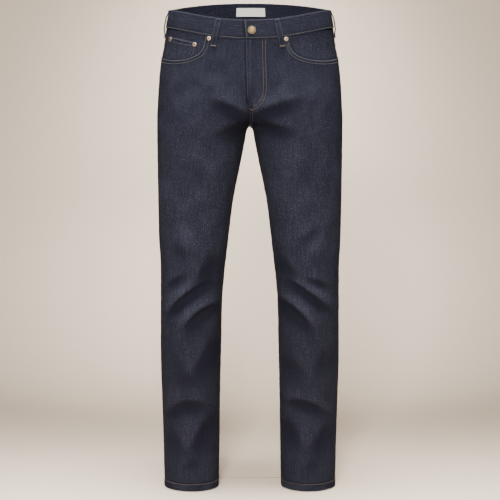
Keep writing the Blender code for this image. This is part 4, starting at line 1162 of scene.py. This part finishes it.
def pocketFacing(side):
    # one layer further in than the front, from the waist seam to just under the mouth's edge
    waist = float(cloth.length("front", waistSeam))
    start = front["mouthStart"][side] / waist
    low = start - facing["under"] / waist
    edge = cut["gap"] / 2 / waist
    share = low + (1 - edge - low) * crowded(facing["columns"], 0.5)
    down = np.linspace(0.0, 1.0, facing["rows"])[:, None]
    heights = waistSeam * (1 - down) + (waistSeam - mouthDrop(share, start) - facing["under"]) * down
    share = share + 0 * heights
    turn = share if side == "left" else 4 - share
    dent = -0.0002 - 0.00035 * (1 + wander(share * 0.3 + heights, 51, 0.02))
    if side == "left":
        x, _, z = np.moveaxis(cloth.read(turn, heights), -1, 0)
        above = z - facing["creaseHeight"] - facing["creaseSlope"] * (x - facing["creaseX"])
        along = bump(x, facing["creaseX"] + 0.003, 0.018)
        dent = dent - facing["crease"] * bump(above, 0.0, 0.0025) * along
    shade = -0.8 * bump(heights, waistSeam - mouthDrop(share, start), 0.0030)
    layPiece(
        "pocket_facing_" + side,
        "denim_trim",
        (turn, heights),
        layerUnder + dent * 0.5,
        layerUnder - cut["cloth"] + dent * 0.5,
        ((turn - 2) * waist, heights),
        # painted shadow under the waistband's lower edge, added to the painted shade under the mouth's
        # edge
        fade=shade - 0.5 * bump(heights, waistSeam, 0.002),
        name="denim_facing_" + side,
        flat=(0.155, 0.09),
        area=0.0100,
        rests=["front_" + side],
    )


def coinPocket():
    # a small pocket on the right facing: its top edge is turned and sewn twice, its foot is hidden by
    # the mouth
    waist = float(cloth.length("front", waistSeam))
    start = front["mouthStart"]["right"] / waist
    across, down = crowded(coin["columns"], 0.8), crowded(coin["rows"], 0.7)[:, None]

    def place(across, down):
        top = (coin["innerTop"] + (coin["outer"] - coin["innerTop"]) * across) / waist
        low = (coin["innerBottom"] + (coin["outer"] - coin["innerBottom"]) * across) / waist
        bottom = waistSeam - mouthDrop(low, start) + 4 * cut["gap"]
        return 4 - (top * (1 - down) + low * down), coin["top"] * (1 - down) + bottom * down

    turn, heights = place(across, down)
    fromTop = coin["top"] - heights
    lift = coin["lift"] + 0.0003 * np.sin(np.pi * across) * np.exp(-fromTop / 0.01)
    fromSide = across * coin["width"] + 0 * down
    fall = np.clip(roll(fromTop, 0.00045) + roll(fromSide, 0.00045), 0.0, 0.0004)
    layPiece(
        "coin_pocket",
        "denim_trim",
        (turn, heights),
        lift - fall,
        lift - coin["cloth"] + fall,
        ((turn - 2) * waist, heights),
        0.30 * bump(fromTop, 0.0, 0.0013) + 0.18 * bump(fromSide, 0.0, 0.0012),
        flat=(0.083, 0.06),
        area=0.0039,
        rests=["pocket_facing_right"],
    )
    for row in (0.0016, 0.0072):
        s = np.linspace(0.02, 0.99, 120)
        turn, h = place(s, 0 * s)
        sewOn("dull", turn, h - row, coin["lift"] + 0.0002, radius=0.00038)
    t = np.linspace(0.02, 0.97, 80)
    sewOn("tonal", *place(0 * t + 0.0022 / coin["width"], t), coin["lift"], radius=0.00036)


shield = {"right": -0.014, "left": 0.028, "end": -0.188, "columns": 26, "rows": 60}


def flyShield():
    # a plain strip one layer further in than the fronts
    across = np.linspace(shield["right"], shield["left"], shield["columns"])
    heights = np.linspace(waistSeam, shield["end"], shield["rows"])[:, None] + 0 * across
    layPiece(
        "fly_shield",
        "denim_trim",
        (across / cloth.length("front", heights), heights),
        layerUnder - 0.0001,
        layerUnder - cut["cloth"],
        (across, heights),
        inside=0.3,
        flat=(0.042, 0.149),
        area=0.0056,
        rests=["front_right"],
    )


band = {
    "proud": 0.0010,
    "wall": 0.0026,
    "raise": 0.0015,
    "lapTop": 0.0126,
    "lapBottom": 0.0075,
    "under": 0.034,
    "ramp": 0.016,
    "columns": 420,
    "rows": 26,
    "topRow": 0.0022,
    "bottomRow": 0.0368,
}


def bandLift(turn, height):
    # the buttoned end lies over the other: raised on one side of the middle, lowered on the other
    length = cloth.length("front", -cut["bandHeight"] / 2)
    under, ramp, lap = band["under"] / length, band["ramp"] / length, band["lapTop"] / length
    lift = band["proud"] + band["raise"] * (1 - ease(turn, under, under + ramp))
    lift = lift - band["raise"] * ease(turn, 4 - ramp - lap, 4 - 0.9 * lap)
    rows = bump(height, -band["topRow"] - 0.001, 0.003) + bump(height, -band["bottomRow"] + 0.001, 0.003)
    return lift + rows * (0.00016 * wander(turn * 0.22, 71, 0.0062) - 0.00012)


def waistband():
    # one strip round the waist, read along turn and down; both long edges are turned, its ends lap
    down = crowded(band["rows"], 0.75)[:, None]
    length = float(cloth.length("front", -cut["bandHeight"] / 2))
    lap = (band["lapTop"] + (band["lapBottom"] - band["lapTop"]) * down) / length
    end = 4 + (band["under"] - cut["gap"]) / length
    along = np.linspace(0.0, 1.0, band["columns"])
    along = np.concatenate([[0.0, 0.0004, 0.001, 0.0017], along[2:-2], [0.9983, 0.999, 0.9996, 1.0]])
    turn = -lap + (end + lap) * along
    heights = -cut["bandHeight"] * down + 0 * turn
    lift = bandLift(turn, heights)
    fromTop, fromFoot = -heights, cut["bandHeight"] + heights
    fromEnd = np.minimum(turn + lap, end - turn) * length
    fall = roll(fromTop, 0.0012) + roll(fromFoot, 0.0011) + roll(fromEnd, 0.0011)
    fall = np.clip(fall, 0.0, 0.00105)
    wear = 0.22 * bump(fromTop, 0.0, 0.0013) + 0.14 * bump(fromFoot, 0.0, 0.0012)
    wear = wear + 0.36 * bump(fromEnd, 0.0, 0.0012)
    pastLap = (4 - turn - lap) * length
    # painted shadow beside the buttoned end's edge, painted shade in the groove above the lower stitch
    # row, and the whole band drawn a little darker
    fade = -0.22 - 1.3 * bump(pastLap, 0.0008, 0.0019) - 0.5 * bump(fromFoot, 0.0042, 0.0012)
    layPiece(
        "waistband",
        "denim",
        (turn, heights),
        lift - fall,
        lift - band["wall"] + fall,
        (heights, turn * length),
        wear,
        inside=0.0,
        fade=fade,
        flat=(0.93, 0.0405),
        held="folded",
        rests=["front_left", "front_right"],
    )
    for row, thread in ((band["topRow"], "tonal"), (band["bottomRow"], "dull")):
        share = row / cut["bandHeight"]
        lapHere = (band["lapTop"] + (band["lapBottom"] - band["lapTop"]) * share) / length
        turn = np.linspace(-lapHere + 0.0022 / length, 4 - lapHere * 1.1, 1400)
        h = np.full(1400, -row)
        sewOn(thread, turn, h, bandLift(turn, h))
    t = np.linspace(0.06, 0.94, 40)
    lapHere = (band["lapTop"] + (band["lapBottom"] - band["lapTop"]) * t - 0.0022) / length
    sewOn("dull", -lapHere, -cut["bandHeight"] * t, bandLift(-lapHere, -0.02))


loop = {
    "width": 0.0128,
    "wall": 0.0020,
    "stand": 0.0018,
    "top": -0.0008,
    "bottom": -0.0605,
    "end": 0.15,
    "ramp": 0.16,
    "step": 0.007,
    "dome": 0.0003,
    "columns": 21,
    "rows": 64,
}


def beltLoop(name, topTurn, bottomTurn):
    # a strip t long and x wide: sewn down at both ends, standing off between them, its long edges
    # turned under
    def place(t, x):
        height = loop["top"] + (loop["bottom"] - loop["top"]) * t
        stand = loop["stand"] * ease(t, loop["end"] * 0.8, loop["end"] + loop["ramp"])
        stand = stand * ease(1 - t, loop["end"] * 0.6, loop["end"] + loop["ramp"])
        foot = -cut["bandHeight"]
        ground = band["proud"] * ease(height, foot - loop["step"], foot - 0.001)
        half = loop["width"] / 2 / cloth.length("front", height)
        turn = topTurn + (bottomTurn - topTurn) * t + x * half
        dome = loop["dome"] * (1 - x**2)
        return turn, height, ground + cut["gap"] + stand + loop["wall"] + dome - loop["dome"]

    t = crowded(loop["rows"], 0.7)[:, None]
    x = 2 * crowded(loop["columns"], 0.9) - 1
    turn, height, lift = place(t, x + 0 * t)
    fromSide = (1 - np.abs(x)) * loop["width"] / 2
    fromEnd = np.minimum(t, 1 - t) * 0.06
    fall = np.clip(roll(fromSide, 0.0009) + roll(fromEnd, 0.0009), 0.0, 0.0008)
    layPiece(
        name,
        "denim_trim",
        (turn, height),
        lift - fall,
        lift - loop["wall"] + loop["dome"] + fall,
        (x * loop["width"] / 2, height),
        0.16 * bump(fromSide, 0.0, 0.0014) + 0.14 * bump(fromEnd, 0.0, 0.0014),
        inside=0.0,
        fade=-0.25,
        flat=(0.0134, 0.0665),
        held="folded",
        rests=["waistband"],
    )
    t = np.linspace(0.03, 0.97, 60)
    for x in (-0.66, 0.66):
        sewOn("tonal", *place(t, x + 0 * t), radius=0.00034)
    for t, thread in ((0.05, "tonal"), (0.94, "gold")):
        turn, height, lift = place(t, 0.0)
        point, out = pointOn(turn, height, lift + 0.0001)
        across = pointOn(turn + 0.02, height, 0.0)[0] - pointOn(turn - 0.02, height, 0.0)[0]
        barTack(thread, point, across, out, loop["width"] * 0.84, 0.0021)


hemLook = {
    "rope": 0.00055,
    "ropePitch": 0.0066,
    "slant": 0.88,
    "columns": 300,
    "rows": 20,
    "row": 0.0019,
    "proud": 0.0004,
    "inner": -0.0030,
}


def hem(side):
    # a ring: three layers of cloth turned up, whose twist shows as slanting ripples
    columns, start = hemLook["columns"], 0.0 if side == "left" else 2.0
    turned = np.linspace(0.0, 2.0, columns + 1)[:-1]
    down = crowded(hemLook["rows"], 0.8)[:, None]
    top, foot = cut["hemTop"] - cut["gap"] / 2, cut["hemBottom"]
    heights = top * (1 - down) + foot * down + 0 * turned
    around = float(cloth.length("front", foot) + cloth.length("back", foot))
    u = turned * around / 2

    def relief(u, height):
        fall = top - height
        body = ease(fall, 0.0022, 0.0050)
        pitch = around / round(around / hemLook["ropePitch"])
        waves = np.sin((u + fall * hemLook["slant"]) * 2 * np.pi / pitch)
        waves = waves * (0.65 + 0.35 * wander(u, 83, 0.018))
        lift = hemLook["proud"] * body + hemLook["rope"] * waves * body
        return lift - 0.00018 * bump(fall, hemLook["row"], 0.0012), waves

    lift, waves = relief(u + 0 * heights, heights)
    fall = np.clip(roll(heights - foot, 0.0014), 0.0, 0.0012) + 0 * lift
    turn = start + turned + 0 * heights
    body = ease(top - heights, 0.002, 0.006)
    layPiece(
        "hem_" + side,
        "denim_trim",
        (turn, heights),
        lift - fall,
        hemLook["inner"] + fall,
        (u, heights),
        0.85 * np.clip(waves, 0.0, 1.0) ** 3 * body + 0.30 * bump(heights - foot, 0.0, 0.0012),
        inside=0.0,
        # darker hem, lighter on the ripples' crests: partly roping fade on the crests, partly painted
        # shade over the hem and in the ripples' hollows
        fade=(-0.55 + 0.75 * waves) * body - 0.30 * (1 - body),
        closed=True,
        flat=(0.362, 0.0192),
        held="folded",
        rests=["front_" + side],
    )
    t = np.linspace(0.0, 2.0, 500)
    h = np.full(500, top - hemLook["row"])
    sewOn("gold", start + t, h, relief(t * around / 2, h)[0], radius=0.00040)


def lathe(name, spot, profile, segments, material, sunk):
    # a profile of (radius, rise) turned about the outward line at spot = (turn, height, lift); sunk
    # marks the radii that are drawn darker
    centre, out = pointOn(*spot)
    down = unit(np.cross(out, np.cross(-upward, out)))
    across = np.cross(down, out)
    radius, rise = np.array(profile).T
    angle = np.arange(segments) * 2 * np.pi / segments
    ring = np.cos(angle)[None, :, None] * across + np.sin(angle)[None, :, None] * down
    points = centre + out * rise[:, None, None] + ring * radius[:, None, None]
    rows = len(radius)
    faces = gridFaces(rows, segments, True).reshape(-1, 4).tolist()
    faces += [list(range(segments))[::-1], [(rows - 1) * segments + n for n in range(segments)]]
    piece = addMesh(name, points.reshape(-1, 3), faces, material)
    darkened = (radius > sunk[0]) & (radius < sunk[1]) & (rise > 0.0005)
    tag(piece, "sunkDarkening", "POINT", np.repeat(darkened, segments))
    return piece


button = {"radius": 0.0085, "fromCentre": 0.0040, "height": -0.0214, "segments": 72}
rivet = {
    "radius": 0.0047,
    "height": -0.0445,
    "left": 0.0772,
    "right": 0.0868,
    "coinHeight": -0.0595,
    "coinInner": 0.1180,
    "coinOuter": 0.1830,
    "segments": 44,
}


def makeButton():
    # a shank button: stem, rolled rim, a sunk ring and a low dome
    length = float(cloth.length("front", button["height"]))
    turn = button["fromCentre"] / length
    r = button["radius"]
    t = np.linspace(0.0, np.pi, 9)
    rim = [(0.93 * r + 0.07 * r * np.sin(a), 0.0024 - 0.00075 * np.cos(a)) for a in t]
    profile = [(0.40 * r, 0.0), (0.40 * r, 0.0012), (0.62 * r, 0.0014), *rim]
    profile += [(0.86 * r, 0.0028), (0.80 * r, 0.00265), (0.76 * r, 0.0027), (0.72 * r, 0.0029)]
    dome = np.linspace(0.15, 1.5, 8)
    profile += [(0.72 * r * math.cos(a), 0.0029 + 0.0007 * math.sin(a)) for a in dome]
    profile += [(0.02 * r, 0.0036)]
    spot = (turn, button["height"], band["proud"] + band["raise"] + cut["gap"])
    piece = lathe("brass_button", spot, profile, button["segments"], look["brass"], (0.73 * r, 0.85 * r))
    declare(piece, ["button"], "brass")
    # the buttonhole: threads round a slit whose inner end shows beside the button
    angle = np.linspace(0.5 * np.pi, 1.5 * np.pi, 40)
    inner, outer, half = -0.0016, 0.006, 0.0014
    edge = np.linspace(outer, inner, 22)
    a = np.concatenate([edge, inner + half * np.cos(angle), np.linspace(inner, outer, 22)])
    h = np.concatenate([np.full(22, half), half * np.sin(angle), np.full(22, -half)])
    spots, heights = a / length, button["height"] + h
    points = cloth.read(spots, heights, bandLift(spots, heights))
    outs = cloth.outs(spots, heights)
    sideways = unit(np.cross(outs, np.gradient(points, axis=0)))
    stitched["tonal"].append((points - sideways * 0.0011, points + sideways * 0.0011, outs, 0.00030))


def makeRivet(name, node, turn, height, lift):
    # a burr: flat flange, a ring and a dimple with a dark middle
    r = rivet["radius"]
    shares = (0.93, 1.0, 0.985, 0.92, 0.80, 0.62, 0.47, 0.38, 0.31, 0.24, 0.14, 0.05)
    rises = (0.0, 35e-5, 62e-5, 88e-5, 108e-5, 126e-5, 134e-5, 124e-5, 86e-5, 72e-5, 84e-5, 90e-5)
    profile = [(share * r, rise) for share, rise in zip(shares, rises)]
    spot = (turn, height, lift)
    piece = lathe(name, spot, profile, rivet["segments"], look["copper"], (-1.0, 0.34 * r))
    declare(piece, [node], "copper")


tape = {
    "width": 0.0630,
    "top": -0.0095,
    "height": 0.0178,
    "wall": 0.0006,
    "shift": 0.002,
    "columns": 60,
    "rows": 16,
}


def wovenLabel():
    # a bare tape on the inside of the waistband, sewn down at its two ends, its long edges lifting a
    # little
    length = float(cloth.length("back", tape["top"]))
    across = tape["width"] * (crowded(tape["columns"], 0.8) - 0.5)
    down = crowded(tape["rows"], 0.6)[:, None]
    heights = tape["top"] - tape["height"] * down + 0 * across
    turn = 2 - (across + tape["shift"]) / length + 0 * heights
    lift = band["proud"] - band["wall"] - cut["layerGap"]
    bow = 0.0005 * (1 - (2 * across / tape["width"]) ** 2) * (0.4 + 0.6 * np.abs(2 * down - 1))
    bow = bow + 0.00012 * wander(across, 91, 0.012)
    ends = 0.0002 * bump(np.abs(across), tape["width"] / 2 - 0.002, 0.0014)
    layPiece(
        "label",
        "woven_label",
        (turn, heights),
        lift - 0.0001 - bow * 0.8,
        lift - tape["wall"] - bow - ends,
        (across, heights),
        inside=0.0,
        name="woven_label",
        flat=(0.0635, 0.0185),
        rests=["waistband"],
    )
    h = np.linspace(tape["top"] - 0.0012, tape["top"] - tape["height"] + 0.0012, 30)
    for a in (-1, 1):
        spots = 2 - (a * (tape["width"] / 2 - 0.0018) + tape["shift"]) / length + 0 * h
        points = cloth.read(spots, h, lift - tape["wall"] - 0.0002)
        sewRow("white", points, -cloth.outs(spots, h), 0.0022, 0.0018, 0.00024)


def makeStage():
    # floor, cove and wall in one sheet: y and z along a profile, x across
    stage = {"floor": -1.0657, "front": -1.4, "coveY": 0.75, "radius": 0.55, "half": 1.9, "tall": 2.6}
    angle = np.linspace(0.0, np.pi / 2, 24)
    back = stage["coveY"] + stage["radius"] * np.sin(angle)
    flat = np.linspace(stage["front"], stage["coveY"], 44)[:-1]
    rise = stage["radius"] * (1 - np.cos(angle))
    y = np.concatenate([flat, back, back[-1:]])
    z = np.concatenate([0 * flat, rise, [stage["tall"]]]) + stage["floor"]
    x = np.linspace(-stage["half"], stage["half"], 8)
    points = np.stack(np.broadcast_arrays(x[None, :], y[:, None], z[:, None]), axis=-1)
    faces = gridFaces(*points.shape[:2], False)
    finish = Finish("stagePaper", {"Specular IOR Level": 0.1})
    cloudy = finish.noise(finish.at((0.7, 0.7, 0.7)), 2.0)
    colours = rgb(0.545, 0.458, 0.366), rgb(0.570, 0.480, 0.385)
    finish.feed("Base Color", finish.mix(finish.soft(cloudy, 0.3, 0.7), *colours))
    finish.feed("Roughness", 0.9 + 0.05 * cloudy)
    paper = addMesh("stage_paper", points.reshape(-1, 3), faces.reshape(-1, 4), finish.material)


def areaLight(name, place, aim, size, power, colour, spread=180):
    lamp = bpy.data.lights.new(name, "AREA")
    lamp.spread = math.radians(spread)
    lamp.shape, lamp.size, lamp.size_y = "RECTANGLE", size[0], size[1]
    lamp.energy, lamp.color = power, colour
    holder = bpy.data.objects.new(name, lamp)
    bpy.context.scene.collection.objects.link(holder)
    holder.location = place
    holder.rotation_euler = (Vector(aim) - Vector(place)).to_track_quat("-Z", "Y").to_euler()


def makeLights():
    areaLight("keyLight", (-0.30, -3.5, 1.5), (0.0, 0.0, -0.5), (0.9, 0.9), 330, (1.0, 0.985, 0.965))
    areaLight("wallLight", (0.0, 0.10, 0.90), (0.0, 1.3, -0.60), (0.4, 0.3), 12, (1.0, 0.97, 0.94), 56)
    areaLight("floorLight", (0.0, -0.30, 1.4), (0.0, -0.42, -1.06), (2.4, 0.7), 36, (1.0, 0.97, 0.94), 44)
    world = bpy.data.worlds.new("softRoom")
    world.use_nodes = True
    world.node_tree.nodes["Background"].inputs["Color"].default_value = rgb(0.93, 0.92, 0.92)
    world.node_tree.nodes["Background"].inputs["Strength"].default_value = 0.055
    bpy.context.scene.world = world


def makeCamera():
    lens = bpy.data.cameras.new("photoCamera")
    lens.lens, lens.sensor_width = camera["lens"], 36.0
    holder = bpy.data.objects.new("photoCamera", lens)
    bpy.context.scene.collection.objects.link(holder)
    holder.location = camera["place"]
    holder.rotation_euler = (math.radians(90 - camera["pitchDown"]), 0.0, 0.0)
    bpy.context.scene.camera = holder


makeCamera()
makeStage()
makeLights()
print("stage, lights and camera made")

for side in ("left", "right"):
    frontPanel(side)
    backPanel(side)
    yoke(side)
    pocketFacing(side)
    backPocket(side)
    hem(side)
coinPocket()
flyShield()
waistband()
print("cloth made")

seamLength = float(cloth.length("front", -cut["bandHeight"]))
for name, topTurn, bottomTurn in (
    ("loop_front_left", 0.0585 / seamLength, 0.0685 / seamLength),
    ("loop_front_right", 4 - 0.0680 / seamLength, 4 - 0.0765 / seamLength),
    ("loop_side_left", 1.0, 1.0),
    ("loop_side_right", 3.0, 3.0),
    ("loop_back", 2.0, 2.0),
):
    beltLoop(name, topTurn, bottomTurn)
wovenLabel()
makeButton()
for name, node, across, height, lift in (
    ("rivet_left", "rivet_pocket_left", rivet["left"], rivet["height"], 0.0),
    ("rivet_right", "rivet_pocket_right", -rivet["right"], rivet["height"], 0.0),
    ("rivet_coin_inner_burr", "rivet_coin_inner", -rivet["coinInner"], rivet["coinHeight"], coin["lift"]),
    ("rivet_coin_outer_burr", "rivet_coin_outer", -rivet["coinOuter"], rivet["coinHeight"], coin["lift"]),
):
    turn = across / seamLength if across > 0 else 4 + across / seamLength
    makeRivet(name, node, turn, height, lift + cut["gap"])
print("loops, label and metal made")

for thread, parts in stitched.items():
    sewAll(thread, parts)
print("stitches sewn")
